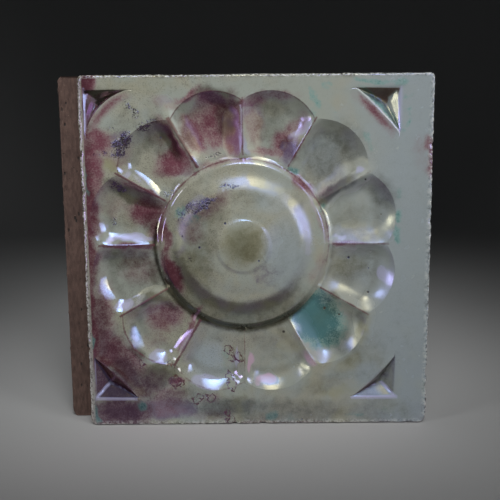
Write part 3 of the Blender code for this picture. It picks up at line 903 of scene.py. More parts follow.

# %% [markdown]
# Where the glaze did what, and the painted light
#
# The kiln painted this tile: copper in the glaze fired wine-red where it was starved of air and
# turquoise where it wasn't, and it broke to a dark line over every edge. A texture could carry that,
# but this script has none. Instead each vertex stores a few numbers, one for each effect: colours,
# painted shade and shadow, how dull the gloss is, and painted highlights in lavender-blue and pink.
# Broad areas are short lists of soft ellipses, whose places are bent by noise, so that none looks
# drawn with a compass. The shader breaks all of it up later, finer than the mesh could.

# %% List the patches

# Each patch: across and up from the rosette's middle, half width, half height, turn in degrees, strength.
# Two tables are painted highlights: lavender-blue and pink spots, put where the glaze shows highlights, so
# they show from every side.
PATCHES = {
    "wine": (
        (-86.5, 22, 6, 58, 0, 1.1), (-87, -45, 6, 34, 0, 1.1), (-83, 44, 7, 22, 0, 1),
        (-85, 91, 6, 9, 0, 1.3), (-88, 78, 3, 14, 0, 1), (-78, 57, 9, 10, 0, 1),
        (-84, 74, 5, 11, 0, 0.7), (-68, 52, 8, 10, 0, 0.4), (-42, 79, 10, 5, -15, 0.45),
        (-30, 83, 11, 3, 25, 0.8), (-16, 68, 15, 19, 0, 0.8), (-6, 66, 6, 21, 0, 1.2),
        (-16, 80, 13, 7, 0, 1), (-26, 61, 7, 13, 24, 1), (-18, 69, 7, 6, 0, 1),
        (-38, 46, 13, 11, 10, 1.1), (-37, 56, 4.5, 20, 31, 1.2), (-46, 60, 9, 12, 30, 0.35),
        (-54, 18, 14, 11, 0, 1.05), (-48, 10, 7, 10, 0, 0.9), (-72, 22, 10, 8, 0, 0.35),
        (-56, 32, 18, 2.6, -28, 0.7), (-66, -1, 20, 2, 0, 0.9), (-43.5, 4, 3, 14, 0, 0.8),
        (-39.5, -15, 5, 14, 20, 1.25), (-18, 23, 15, 7, 38, 0.5), (-28, 10, 8, 12, 0, 0.5),
        (-10, 46, 22, 2, 10, 0.5), (6, 68, 8, 16, 10, 0.65), (3, 80, 12, 5, 14, 0.8),
        (20, 83, 14, 3, -8, 0.6), (24, 55, 9, 9, -30, 0.9), (29, 64, 5, 10, -30, 0.65),
        (14, 52, 16, 3, -4, 0.8), (32, 35, 10, 5, -42, 0.85), (44.5, 12, 2.5, 16, 10, 0.5),
        (41, -14, 3, 12, -20, 0.35), (46, 31, 8, 3.5, 25, 0.5), (58, 0, 12, 2, 0, 0.7),
        (103, 53, 3, 7, 0, 0.95), (102.5, 43, 3.5, 8, 0, 0.85), (97, 50, 5, 14, 0, 0.3),
        (-58, -13, 15, 13, 0, 0.5), (-46, -42, 13, 11, 0, 0.8), (-52, -55, 10, 8, 0, 0.3),
        (-28, -40, 2.5, 7, -30, 0.9), (-80, -45, 8, 34, 0, 0.75), (-68, -66, 22, 10, -47, 0.85),
        (-78, -64, 7, 15, -30, 1), (-76, -82, 14, 10, 0, 0.9), (-72, -97, 20, 9, 0, 1.05),
        (-84, -98, 7, 9, 0, 0.8), (-58, -82, 15, 8, 20, 0.7), (-46, -89, 16, 9, 0, 0.65),
        (-20, -90, 8, 5, 0, 0.45), (-33, -52, 2.5, 14, -28, 0.7), (-40, -79.5, 6, 2.5, -8, 1),
        (-20, -100, 16, 5, 0, 0.4), (-46, -97, 16, 5, 0, 0.55),
    ),
    "teal": (
        (89, 72, 1.6, 13, 0, 0.9), (85, 89, 5, 3.5, 0, 0.75), (69, 90, 13, 2, 0, 0.65),
        (46, 87, 3, 3, 0, 0.5), (39, 80, 3, 7, 10, 0.7), (38, 72, 3.5, 3, 0, 0.5),
        (51, 72, 3, 1.5, -20, 0.6), (68, 58, 5, 2, -35, 0.55), (71, 53, 3, 3, 0, 0.3),
        (29, 41.5, 6, 3.5, -35, 1), (44, 22, 2.5, 4, 0, 0.7), (87, 16, 2, 4, 0, 0.9),
        (86.5, 5, 2.2, 6, 0, 0.9), (85, 26, 1.5, 6, 0, 0.45), (-33, 18, 6, 3.5, 25, 0.7),
        (-28, 14, 7, 4, 30, 0.4), (-61, -94.5, 3, 3.4, 0, 1), (-88, -54, 1.8, 5, 0, 0.9),
        (-86.5, -99, 2.2, 7, 0, 0.9), (-86.5, 37, 2, 9, 0, 0.7), (16, -100, 5, 3, 0, 0.7),
        (27, -102, 5, 2.5, 0, 0.45), (64, -101, 7, 2.5, 0, 0.6), (86, -99, 10, 2.5, 0, 0.4),
        (-12, -66, 3, 6, 0, 0.4), (-13, -75, 3, 3, 0, 0.4),
    ),
    "lilac": (
        (-45, -96, 24, 8, 0, 1), (-82, -45, 5, 18, 0, 0.7), (-80, -38, 5, 8, 0, 0.5),
        (-76, -57, 6, 12, 0, 0.6), (-67, 60, 7, 5, 0, 0.7), (-33, 40, 8, 6, 20, 0.6),
        (12, -16, 13, 9, 0, 0.45), (35, -8, 4, 25, 0, 0.25), (-70, -70, 18, 5, -45, 1.2),
        (-80, -56, 5, 10, -20, 1), (-75, -103, 14, 3, 0, 0.3), (-22, -70, 10, 14, 0, 0.2),
        (44, -60, 8, 4, 0, 0.3),
    ),
    "crust": (
        (-67, 56, 4.2, 7.5, -25, 1.4), (-64, 62, 4, 2, 0, 0.8), (-55, 66, 4.5, 5, 0, 1),
        (-60, 75, 2.2, 7, 35, 0.9), (-71, 65, 3, 1.5, 0, 0.7), (-77, 50, 6, 1.4, 5, 0.7),
        (-70, 34, 5, 3.5, 0, 1), (-50, 70, 9, 1.6, 0, 0.7), (-24, 23, 12, 3.2, 38, 1.3),
        (-9, 33, 9, 1.6, 6, 1), (-33, 16, 4, 4, 0, 0.8), (-32, -8, 3, 4, 0, 0.4),
        (-41, 29, 4, 2.5, 0, 0.8), (-74, 14, 4, 4, 0, 0.5), (-16, 49, 5, 1.5, 15, 0.9),
    ),
    "olive": (
        (0, 1, 15, 14, 0, 0.85), (68, -50, 5, 13, -10, 0.7), (61, -68, 5, 12, -42, 0.7),
        (53, -86, 11, 4, 0, 0.5), (-73, 45, 7, 4.5, 0, 1), (-55, -73, 10, 5, 10, 0.8),
        (-66, -42, 8, 8, 0, 0.5), (-48, -76, 10, 5, 0, 0.6), (-38, -86, 8, 5, 0, 0.6),
        (-42, 60, 10, 6, 0, 0.5), (-28, -12, 13, 22, 0, 0.5), (-11, -66, 5, 10, 0, 0.6),
        (-5, -76, 4, 5, 0, 0.5), (53, -12, 6, 8, 0, 0.5), (62, -14, 15, 9, 0, 0.45),
        (-55, 92, 30, 10, 0, 0.4), (-40, -30, 3, 14, 40, 0.6),
    ),
    # Milky glaze, and painted sheen and reflections
    "milky_and_painted_sheen": (
        (-33, 66, 4, 17, 32, 0.9), (4, 66, 4, 18, 0, 0.4), (-55, 76, 5, 10, 30, 0.45),
        (-70, 93, 26, 5, 0, 0.35), (-72, 72, 14, 5, 50, 0.4), (34, 36, 12, 2.5, -44, 0.9),
        (48, 12, 2, 20, 0, 0.8), (46, -16, 2, 12, -15, 0.5), (14, 51.5, 16, 2, -10, 0.6),
        (-88, -75, 2.5, 35, 0, 0.7), (-62, 30, 4, 4, 0, 0.5), (-52, 34, 6, 3, -28, 0.5),
        (-22, 9, 5, 5, 0, 0.2), (-20, -66, 15, 13, 0, 0.38), (-79, 8, 4, 7, 0, 0.4),
    ),
    # Painted shade on slopes that face down, under ridges and round the boss, with darker glaze in places
    "shaded": (
        (-50, -2, 38, 64, 0, 0.55), (48, 50, 18, 24, -42, 0.72), (16, 68, 15, 20, 0, 0.7),
        (-16, 74, 16, 14, 0, 0.5), (-10, 72, 7, 14, 0, 1), (-47, 60, 14, 16, 30, 0.75),
        (-60, 28, 20, 6.5, -26, 1.4), (-57, 25.5, 10, 4, -28, 1.6), (-42, 59, 5.5, 18, 33, 1.3),
        (-66, -8, 20, 9, 0, 0.9), (-52, -16, 6, 14, 15, 0.9), (-44, -34, 10, 5, -45, 0.9),
        (-12, 80, 14, 5, 0, 0.9), (-50, -40, 17, 11, 0, 0.4), (20, -62, 14, 10, 0, 0.4),
        (-52, -54, 14, 9, 0, 0.3), (-52, -32, 10, 4, 28, 1), (-64, -51, 3, 8, 25, 0.9),
        (-52, -77, 15, 9, 10, 0.95), (-30, -20, 12, 5, -45, 0.9), (-16, -54, 9, 6, 0, 0.4),
        (14, -56, 16, 8, 0, 0.45), (62, -14, 20, 14, 0, 0.65), (60, 14, 18, 12, 0, 0.5),
        (78, 28, 8, 14, 30, 0.7), (51, 31, 15, 5, 30, 1.2), (66, 4.5, 20, 6, 0, 0.6),
        (30, 20, 5, 20, 28, 0.5), (50, -44, 16, 14, 0, 0.3), (64, -64, 9, 12, -40, 0.55),
        (66, -76, 9, 6, -30, 0.4), (20, -98, 64, 10, 0, 0.65), (78, -98, 34, 10, 0, 0.5),
        (72, -66, 14, 18, 0, 0.4), (-34, -90, 24, 10, 0, 0.6), (-76, -70, 18, 28, 0, 0.7),
        (-66, -76, 24, 11, -45, 0.9), (-82, -45, 9, 30, 0, 0.75), (-72, -96, 22, 11, 0, 0.97),
        (-28, -4, 18, 32, 0, 0.7), (-22, 20, 18, 14, 40, 0.75), (2, 26, 16, 7, 0, 0.5),
        (0, 0, 14, 14, 0, 0.75), (20, -4, 20, 26, 0, 0.3), (-86, 10, 6, 90, 0, 0.65),
        (-86, 92, 6, 9, 0, 0.8), (-10, -96, 26, 8, 0, 0.95), (-50, 12, 11, 10, 0, 0.8),
        (-31, 64, 4, 16, 30, 0.7), (26, 52, 6, 9, -35, 0.95), (-86, 76, 6, 10, 0, 0.8),
        (-15, 84, 15, 5, 0, 0.9), (16, 83, 14, 4, 0, 0.6), (-60, 70, 20, 12, 30, 0.4),
        (0, -36, 22, 5, 0, 0.5), (0, -45, 30, 5, 0, 0.6), (-24, -32, 12, 5, -30, 0.8),
        (49, -35, 12, 6, -35, 0.6), (53, -42, 6, 8, 0, 0.35), (-62, -62, 10, 5, -35, 0.8),
        (48, -80, 22, 7, 20, 0.5), (67, -44, 4, 12, 0, 0.7), (56, -57, 10, 10, 0, 0.75),
        (6, 64, 5, 17, 0, 0.45), (50, -29, 5, 3, -30, 0.8), (86, -60, 20, 30, 0, 0.2),
    ),
    "dull": (
        (-34, 66, 7, 22, 32, 2.5), (15, 2, 5, 12, 0, 1.4), (68, -45, 6, 14, 0, 1),
        (5, 66, 7, 20, 0, 2.4), (64, 5, 22, 8, 0, 1.2), (-7, 62, 5, 18, 0, 2.4),
        (-27, 57, 6, 10, 32, 1.2), (-51, -31, 15, 6, 28, 3), (-64, 4, 13, 4, 0, 0.4),
        (12.5, -80, 8, 5, 0, 1), (-33, -58, 3, 10, -28, 1.4), (-64, -51, 4, 9, 25, 0.5),
        (37, -54, 6, 16, 28, 1.8), (52, 33, 22, 8, 30, 3), (24, 49, 4, 8, -32, 1.6),
        (-26, 20, 20, 10, 45, 0.9), (-35, 4, 8, 16, 0, 1), (4, 35, 24, 7, -8, 1),
        (-8, 14, 6, 4, 30, 0.7), (31, 20, 9, 26, 28, 0.4), (24, -60, 6, 18, 28, 0.5),
        (32, -66, 10, 10, 0, 0.4),
    ),
    # Painted highlights in lavender-blue
    "lustre_and_painted_highlight": (
        (32, 62.5, 2.2, 7.5, -37, 1), (79.5, -19, 3.6, 6.5, 0, 1.25), (64, 40.5, 3.5, 1.6, 22, 0.8),
        (54, 3, 6, 1.6, 0, 0.9), (-4.2, -67, 1.8, 8, 0, 1), (-22, -80, 10, 4.5, -8, 1.35),
        (-32, -72, 3, 3, 0, 0.6), (-50, -65, 5, 5, 0, 1.25), (-64, -53, 1.6, 4, 30, 0.9),
        (-69, -34, 6, 4, 20, 1.4), (-64, 42, 4, 2.2, 20, 0.7), (46, -64, 6, 5, 30, 0.6),
        (-4, 35.5, 4.5, 1.3, 0, 0.7), (-2.8, 57, 0.9, 7, 0, 1), (-80, 12, 2.5, 3, 0, 0.7),
        (-64, 3.4, 14, 2.4, 0, 1.5), (35.5, 3, 1.8, 14, 0, 0.6),
    ),
    # Painted highlights in pink
    "painted_pink_highlight": (
        (4.5, -71, 1.7, 8, 0, 1), (12.5, -81, 7, 3.4, 4, 1), (38, -68, 3, 4, 30, 0.8),
        (-28, -42, 1.4, 5, -30, 0.9), (40, 20, 1.6, 14, 30, 0.5),
    ),
    "cool": (
        (24, -6, 14, 24, 0, 0.8), (18, 24, 12, 10, 0, 0.5), (72, -74, 14, 10, 45, 0.9),
        (-20, -70, 14, 14, 0, 1), (60, 72, 12, 8, 0, 0.4), (46, 50, 14, 14, 0, 0.7),
    ),
    "cream": (
        (-34, 66, 8, 20, 32, 1.2), (-8, 63, 5, 16, 0, 0.8), (6, 64, 6, 17, 0, 1.1),
        (65, 45, 9, 6, 0, 1), (80, 14, 7, 10, 0, 1), (60, -31, 14, 8, -28, 1), (62, -50, 8, 9, 0, 1),
        (7, 37, 5, 4, 0, 1), (-18, 32, 6, 4, 20, 1), (-52, -62, 5, 5, 0, 0.4),
    ),
}

# Turquoise that filled one petal and stopped at its ridges
TEAL_PETAL = ((41, -43.5, 21, 18, -45, 1.5), (34, -48, 9, 11, -35, 1.3))

# The wine lines: how dark and how wide over each arris, from the right anticlockwise, then how dark over
# each petal's outer edge
ARRIS_LINES = np.array([0.75, 0.5, 0.9, 0.8, 1.0, 1.0, 1.0, 1.0, 1.0, 0.6, 0.5, 0.8])
ARRIS_WIDTHS = np.array([1.5, 0.9, 1.1, 1.3, 2.2, 1.2, 1.9, 1.4, 1.7, 1.1, 0.9, 1.2])
PETAL_LINES = np.array([0.12, 0.05, 0.65, 0.75, 0.55, 0.3, 0.25, 0.75, 0.6, 0.15, 0.0, 0.0])
print(sum(len(table) for table in PATCHES.values()), "patches for", len(PATCHES), "effects")

# %% [markdown]
# Lines over edges
#
# Molten glaze runs off an edge and leaves it thin and dark, and gathers in the hollow below. A painter
# would do this with masks in layers. Here each mask is a distance, to a ray, a circle or a petal's
# edge, in the same formulas that made the shape, so lines and shape can't drift apart.

# %% Measure from the edges
SECTOR = 2 * half_petal
TURQUOISE_PETAL = 10
BEND_BROAD = 2.2
BEND_FINE = 1.1


def bent(points):
    """Places on the face, across and up from the rosette's middle, shifted by two sizes of noise."""
    x = points[:, 0] - ROSETTE_SHIFT
    z = points[:, 2] - ROSETTE_HEIGHT
    x = x + BEND_BROAD * grain(points, 11, seed=31) + BEND_FINE * grain(points, 3.4, seed=32)
    z = z + BEND_BROAD * grain(points, 11, seed=33) + BEND_FINE * grain(points, 3.4, seed=34)
    return x, z


def patches(place, table):
    """The strongest of a table's soft ellipses: full near its middle, gone a little past the edge."""
    x, z = place
    value = np.zeros(len(x))
    for across_mm, up_mm, wide, high, turn, strength in table:
        c = math.cos(math.radians(turn))
        s = math.sin(math.radians(turn))
        u = ((x - across_mm) * c + (z - up_mm) * s) / wide
        v = ((z - up_mm) * c - (x - across_mm) * s) / high
        value = np.maximum(value, strength * (1 - ramp(np.hypot(u, v), 0.35, 1.3)))
    return value


def line_mask(distance, width):
    """1 on a line and 0 from width mm away."""
    return 1 - ramp(np.abs(distance), 0, width)


def in_rosette(x, z):
    """Radius, turn anticlockwise from the right, mm from the nearest arris, mm past the petal's edge."""
    radius = np.hypot(x, z)
    turn = np.arctan2(z, x) % (2 * np.pi)
    within = turn % SECTOR
    from_arris = np.minimum(within, SECTOR - within) * radius
    from_edge = radius - petal_edge(within - half_petal)
    return radius, turn, from_arris, from_edge


def in_petal(x, z, index):
    """1 inside one petal, counted anticlockwise from the right, and 0 outside, with soft ridges."""
    radius, turn, from_arris, _ = in_rosette(x, z)
    return ramp(from_arris, 0.2, 0.9) * (turn // SECTOR == index) * (radius > BOSS_RADIUS - 1)


def edge_lines(x, z):
    """The wine lines where glaze ran thin: over the arrises, the petals' edges, the crest and the rim."""
    radius, turn, from_arris, from_edge = in_rosette(x, z)
    nearest = np.round(turn / SECTOR).astype(int) % PETALS
    petal = np.floor(turn / SECTOR).astype(int) % PETALS
    in_ring = (radius > BOSS_RADIUS - 0.5) & (from_edge < 1.5)
    over_arris = ARRIS_LINES[nearest] * (1 - ramp(from_arris / ARRIS_WIDTHS[nearest], 0, 1)) * in_ring
    over_petal = PETAL_LINES[petal] * line_mask(from_edge + 0.3, 1.2)
    upper = ramp(np.cos(turn - math.radians(80)), -0.5, 0.5)
    over_crest = (0.12 + 0.85 * upper) * line_mask(radius - CREST_RADIUS - 3.0, 1.3)
    from_rim = from_outline(x + ROSETTE_SHIFT, z + ROSETTE_HEIGHT)
    over_rim = 0.5 * line_mask(from_rim - 1.4, 1.2) * (x < 60)
    return np.max([over_arris, over_petal, over_crest, over_rim], axis=0)


def pooled_and_shaded(x, z):
    """Where the glaze lies thick and dark, at the boss's foot and the foot of the petals' walls, with
    painted shade that grows towards the bottom of the boss's foot.
    """
    radius, _, from_arris, from_edge = in_rosette(x, z)
    in_ring = (radius > BOSS_RADIUS - 0.5) & (from_edge < 1.5)
    foot = line_mask(radius - BOSS_RADIUS - 0.5, 3.0) * in_ring * (0.6 + 0.4 * ramp(-z, -20, 40))
    wall_foot = 0.7 * line_mask(from_edge + PETAL_WALL_WIDTH, 6) * (from_arris > 4) * in_ring
    return np.maximum(foot, wall_foot)


def painted_boss_shade(x, z):
    """Painted shade in the boss's groove and under its crest, and a painted black shadow line at its foot,
    below and left.
    """
    radius = np.hypot(x, z)
    below = ramp(-z - 0.25 * x, 8, 38)
    left = 0.9 * ramp(-x, 15, 40) * ramp(20 - z, -10, 20)
    groove = ramp(radius, 30, 35) * (1 - 0.3 * ramp(radius, 38, 42)) * (1 - ramp(radius, 46, 48))
    shade = np.maximum(1.15 * groove * ramp(-z - 0.35 * x, -6, 30), ramp(radius, 45, 47) * below)
    shade = np.maximum(shade * (1 - ramp(radius, 50, 52.5)), left * line_mask(radius - 50, 3.5))
    foot = ramp(radius, 44.5, 46.5) * (1 - ramp(radius, 48.8, 51)) * below
    return shade, np.maximum(foot, left * line_mask(radius - 50, 2.6))


print("a petal spans", round(math.degrees(SECTOR)), "degrees")

# %% [markdown]
# What the glaze did at the pits, and the painted light there
#
# Each corner pit has a lip, a wall, a valley and two facets, and the fire treated every corner in its
# own way. Painted shade, shadow and highlights lie on them too. One function finds the place in the
# pit, and a row of four strengths, from the top right anticlockwise, says how much of an effect each
# corner got.

# %% Measure in the pits


def pit_masks(x, z):
    """Each effect's mask at the pits: strengths by corner times the place in the pit.

    The distance from the lip runs towards the corner. It is the distance from the chord, less the parabola
    of the lip, and the place along the chord runs from -1 to 1.
    """
    corner = np.where(z > 0, np.where(x > 0, 0, 1), np.where(x > 0, 3, 2))
    to_side = PIT_REACH_SIDE - np.abs(x)
    to_end = np.where(z > 0, PIT_REACH_TOP - z, PIT_REACH_BOTTOM + z)
    along_chord = np.clip((to_side - to_end) / PIT_LEG, -1, 1)
    arc = 1 - along_chord**2
    bulge = PIT_BULGES[corner]
    out = (PIT_LEG - to_side - to_end) / math.sqrt(2)
    from_lip = out - bulge * arc
    from_valley = out - arc * bulge - (PIT_VALLEY - bulge) * (1 - np.abs(along_chord))
    near = (to_side > -1) & (to_end > -1) & (np.abs(to_side - to_end) < PIT_LEG)
    in_pit = near & (from_lip > 0)
    beyond_lip = near & (from_lip > 0.5)
    wall = near & (from_lip > 0.2) & (from_valley < 0)
    low_wall = wall * ramp(from_lip, 3.4, 5.2)
    end_facet = (to_end > 0.2) & (to_end < to_side) & (from_valley >= 0) & near
    side_facet = (to_side > 0.2) & (to_side <= to_end) & (from_valley >= 0) & near
    lip = line_mask(from_lip - 0.1, 1.0) * near
    inner_band = line_mask(from_lip - 2.2, 3.4) * near * arc**0.5
    outer_band = line_mask(from_lip + 2.8, 4.4) * near * arc**0.5
    valley = line_mask(from_valley + 0.8, 3.4) * beyond_lip
    ridge = line_mask(to_side - to_end, 1.1) * (end_facet | side_facet)
    end_lines = np.maximum(ridge, line_mask(from_valley, 0.8) * end_facet)
    end_leg = line_mask(to_end, 0.8) * in_pit
    side_leg = line_mask(to_side - 0.5, 0.9) * in_pit
    valley_line = line_mask(from_valley + 1.0, 1.0) * beyond_lip * (to_side < to_end)
    layers = {
        "wine": (
            ((0.95, 0.9, 0.9, 0.1), outer_band),
            ((0.9, 0.5, 0.9, 0.0), end_facet),
            ((0.0, 0.9, 0.9, 0.0), wall),
            ((0.0, 0.0, 0.8, 0.0), side_facet),
        ),
        "teal": (((1.3, 0, 0, 0), inner_band),),
        "lilac": (((0.2, 0.9, 0.5, 0.3), side_facet), ((0, 0, 0, 0.35), end_facet)),
        # Painted highlight along the lip, and a painted paler end facet at the lower right
        "milky_and_painted_sheen": (((1.2, 0.4, 1.1, 0.2), lip), ((0, 0, 0, 0.3), end_facet)),
        # Painted highlights along the legs, the facets' edges and the valley
        "lustre_and_painted_highlight": (
            ((1.8, 1.8, 0.8, 0.4), side_leg),
            ((0, 0, 1.9, 1.6), end_lines),
            ((0, 0, 1.3, 1.8), end_leg),
            ((0, 1.6, 0, 0), valley_line),
        ),
        # Painted shade on the pits' walls and facets
        "shaded": (
            ((0, 0.9, 1.3, 0.9), wall),
            ((1.2, 0, 0, 0), low_wall),
            ((1.6, 1.8, 1.7, 0.6), end_facet),
            ((0.5, 0.2, 1.0, 0.7), side_facet),
        ),
        # Painted shadow, near black, in the pits' valleys and on their end facets
        "painted_shadow": (((0.8, 0.3, 1.1, 0.7), valley), ((0.3, 1.0, 0.5, 0), end_facet)),
        "dull": (((1.0, 0.5, 0.6, 1.0), wall | end_facet), ((0, 0, 3.2, 0), end_facet)),
        "cream": (((1.2, 1.2, 0.3, 0), end_facet), ((1.0, 0, 0, 0), side_facet)),
    }
    masks = {}
    for name, parts in layers.items():
        masks[name] = np.max([np.array(strengths)[corner] * place for strengths, place in parts], axis=0)
    return masks


print("corner pits have legs of", PIT_LEG, "mm and are", PIT_DEPTH, "mm deep")

# %% [markdown]
# Painting the vertices
#
# The glaze was poured over the face, so it ends in a ragged line on the walls and the slab behind stays
# bare. Every effect then becomes one attribute: the largest of its patches, its lines and its mask at
# the pits. Attributes are chosen over an image because they sit on the points themselves and need no
# unwrapping.

# %% Paint the vertices
GLAZE_RUN = 8.5
LEFT_RUN = 15.5
LEFT_WALL = 2.0
OUTER_SKIN = 0.35


def glazed(points):
    """1 where glaze covers the clay: the face, and the walls as far as it ran. The rear slab is bare."""
    x, y, z = points.T
    depth = np.where(from_outline(x, z) > ROLL_DEPTH, 0, y - FACE)
    run = GLAZE_RUN + 3.5 * grain(points, (7, 20, 7), seed=21) + 1.5 * grain(points, (1.8, 9, 1.8), seed=22)
    left_run = LEFT_RUN + 2.0 * grain(points, (9, 9, 4), seed=23)
    run = np.where(x < FRONT_LEFT + LEFT_WALL, left_run, run)
    cover = (1 - ramp(depth - run, -0.6, 0.6)) * (x > FRONT_LEFT - OUTER_SKIN)
    return np.where(y > LEDGE - 0.3, 0, cover)


def effect_masks(points):
    """The mask of every effect: formulas first, then patches and pits where they are stronger."""
    x = points[:, 0] - ROSETTE_SHIFT
    z = points[:, 2] - ROSETTE_HEIGHT
    depth = points[:, 1] - FACE
    from_rim = from_outline(points[:, 0], points[:, 2])
    on_face = (depth < ROLL_DEPTH) | ((from_rim > ROLL_DEPTH) & (depth < FRONT_THICKNESS / 2))
    place = bent(points)
    boss_shade, boss_painted_shadow = painted_boss_shade(x, z)
    swayed = x + 8 * grain(points, 30, seed=41)
    on_left = points[:, 0] > FRONT_LEFT - OUTER_SKIN
    masks = {
        "glaze": glazed(points),
        "thin": edge_lines(x, z) * on_face,
        "pool_and_shade": pooled_and_shaded(x, z) * on_face,
        "rim": (1 - ramp(from_rim, 0.6, 2.0)) * (1 - ramp(depth, 3, 6)),
        "drip": (1 - ramp(points[:, 0] - FRONT_LEFT, LEFT_WALL, 3.8)) * on_left,
        "satin": ramp(swayed, -25, 55),
        "cool": ramp(swayed, 40, 90),
        "teal": patches(place, TEAL_PETAL) * in_petal(x, z, TURQUOISE_PETAL),
        # Painted shade and a painted black shadow round the boss
        "shaded": boss_shade * on_face,
        "painted_shadow": boss_painted_shadow * on_face,
        "cream": boss_painted_shadow * on_face,
    }
    for name, table in PATCHES.items():
        masks[name] = np.maximum(masks.get(name, 0), patches(place, table))
    for name, values in pit_masks(x, z).items():
        masks[name] = np.maximum(masks[name], values * on_face)
    return masks


def paint(thing):
    """Store the masks of every effect on the vertices of the joined tile."""
    points = np.zeros(len(thing.data.vertices) * 3)
    thing.data.vertices.foreach_get("co", points)
    masks = effect_masks(points.reshape(-1, 3) / MM)
    for name, values in masks.items():
        attribute = thing.data.attributes.new(name, "FLOAT", "POINT")
        attribute.data.foreach_set("value", values.astype(np.float32))
    print("painted:", ", ".join(f"{name} {values.mean():.2f}" for name, values in masks.items()))


paint(tile)

# %% [markdown]
# Writing shaders as sums
#
# A material is a web of nodes, and long webs are hard to read when each link takes a line. The class
# below wraps a node's output, so that a plain sum in Python, such as 1 - mask * 0.5, adds the Math
# nodes for it. One method makes any other node from its type, its settings and what goes into its
# sockets.

# %% Define the shader's shorthand


class Wire:
    """The output of a node, which can be used in sums: each operator adds a Math node."""

    def __init__(self, recipe, socket):
        self.recipe = recipe
        self.socket = socket

    def math(self, operation, first, second):
        return self.recipe.node("ShaderNodeMath", {"operation": operation}, {0: first, 1: second})

    def __add__(self, other):
        return self.math("ADD", self, other)

    def __radd__(self, other):
        return self.math("ADD", other, self)

    def __sub__(self, other):
        return self.math("SUBTRACT", self, other)

    def __rsub__(self, other):
        return self.math("SUBTRACT", other, self)

    def __mul__(self, other):
        return self.math("MULTIPLY", self, other)

    def at_least(self, other):
        return self.math("MAXIMUM", self, other)

    def at_most(self, other):
        return self.math("MINIMUM", self, other)

    def size(self):
        return self.recipe.node("ShaderNodeMath", {"operation": "ABSOLUTE"}, {0: self})

    def step(self, low, high):
        """0 below low and 1 above high, or the other way round, along a smooth S."""
        settings = {"interpolation_type": "SMOOTHSTEP", "clamp": True}
        inputs = {"Value": self, "From Min": low, "From Max": high}
        return self.recipe.node("ShaderNodeMapRange", settings, inputs)


class Recipe:
    """A material's node tree with one method that adds any node."""

    def __init__(self, name):
        self.material = bpy.data.materials.new(name)
        self.material.use_nodes = True
        self.tree = self.material.node_tree
        self.tree.nodes.clear()

    def node(self, kind, settings=None, inputs=None, output=0):
        """A node of a kind, with its settings, a value or a wire for each socket, and one of its outputs."""
        node = self.tree.nodes.new(kind)
        for key, value in (settings or {}).items():
            setattr(node, key, value)
        for key, value in (inputs or {}).items():
            if isinstance(value, Wire):
                self.tree.links.new(value.socket, node.inputs[key])
            else:
                node.inputs[key].default_value = value
        return None if output is None else Wire(self, node.outputs[output])

    def attribute(self, name):
        return self.node("ShaderNodeAttribute", {"attribute_name": name}, output="Fac")

    def vector(self, operation, first, second, output=0):
        """Vector maths on three numbers at once, such as a place or a colour."""
        return self.node("ShaderNodeVectorMath", {"operation": operation}, {0: first, 1: second}, output)

    def place(self):
        """Object coordinates in millimetres."""
        return self.vector("MULTIPLY", self.node("ShaderNodeTexCoord", output="Object"), (1 / MM,) * 3)

    def noise(self, vector, size, detail=2.0, rough=0.5, warp=0.0, output=0):
        """Noise between 0 and 1, about 0.5, with blotches of the size in millimetres."""
        inputs = {"Vector": vector, "Scale": 1 / size, "Detail": detail, "Roughness": rough}
        inputs["Distortion"] = warp
        return self.node("ShaderNodeTexNoise", {"normalize": True}, inputs, output)

    def cells(self, vector, size):
        """Distance to the nearest of scattered points, in cells of the size in millimetres."""
        return self.node("ShaderNodeTexVoronoi", None, {"Vector": vector, "Scale": 1 / size})

    def mix(self, factor, first, second):
        """A blend of two colours."""
        settings = {"data_type": "RGBA", "clamp_factor": True}
        inputs = {0: factor, 6: self.colour(first), 7: self.colour(second)}
        return self.node("ShaderNodeMix", settings, inputs, output=2)

    def colour(self, value):
        return value if isinstance(value, Wire) else (*value, 1.0)

    def bump(self, height, strength):
        """A normal bent by a height in millimetres."""
        return self.node("ShaderNodeBump", None, {"Height": height, "Strength": strength, "Distance": MM})

    def principled(self, inputs):
        return self.node("ShaderNodeBsdfPrincipled", None, inputs)

    def blend(self, factor, first, second):
        """A blend of two shaders."""
        return self.node("ShaderNodeMixShader", None, {0: factor, 1: first, 2: second})

    def finish(self, shader):
        """Link a shader to the material's output."""
        self.node("ShaderNodeOutputMaterial", None, {"Surface": shader}, output=None)


# %% [markdown]
# The glaze and the clay
#
# On the real tile a glassy layer half a millimetre thick lies over brown clay, and iron, copper and
# smoke gave it its colours. Each is a plain linear value here, tuned against the photograph under this
# light. The lustre, which turns highlights lavender and cream, is a thin film on the glass, as on a
# soap bubble. Its thickness must be one number for a shader, so two glazes of different film are
# blended by a broad noise.

# %% Choose the colours
CELADON = (0.285, 0.305, 0.265)
CELADON_WARM = (0.305, 0.30, 0.235)
CELADON_COOL = (0.28, 0.315, 0.32)
CELADON_DEEP = (0.15, 0.155, 0.13)
# Painted shade and painted shadow multiply the colour by these two tints
SHADE = (0.215, 0.20, 0.165)
PAINTED_SHADOW_TINT = (0.14, 0.13, 0.12)
SPECKLE = (0.10, 0.095, 0.075)
# The colours of the painted highlights
PAINTED_HIGHLIGHT_BLUE = (0.45, 0.44, 0.66)
PAINTED_HIGHLIGHT_PINK = (0.52, 0.34, 0.44)
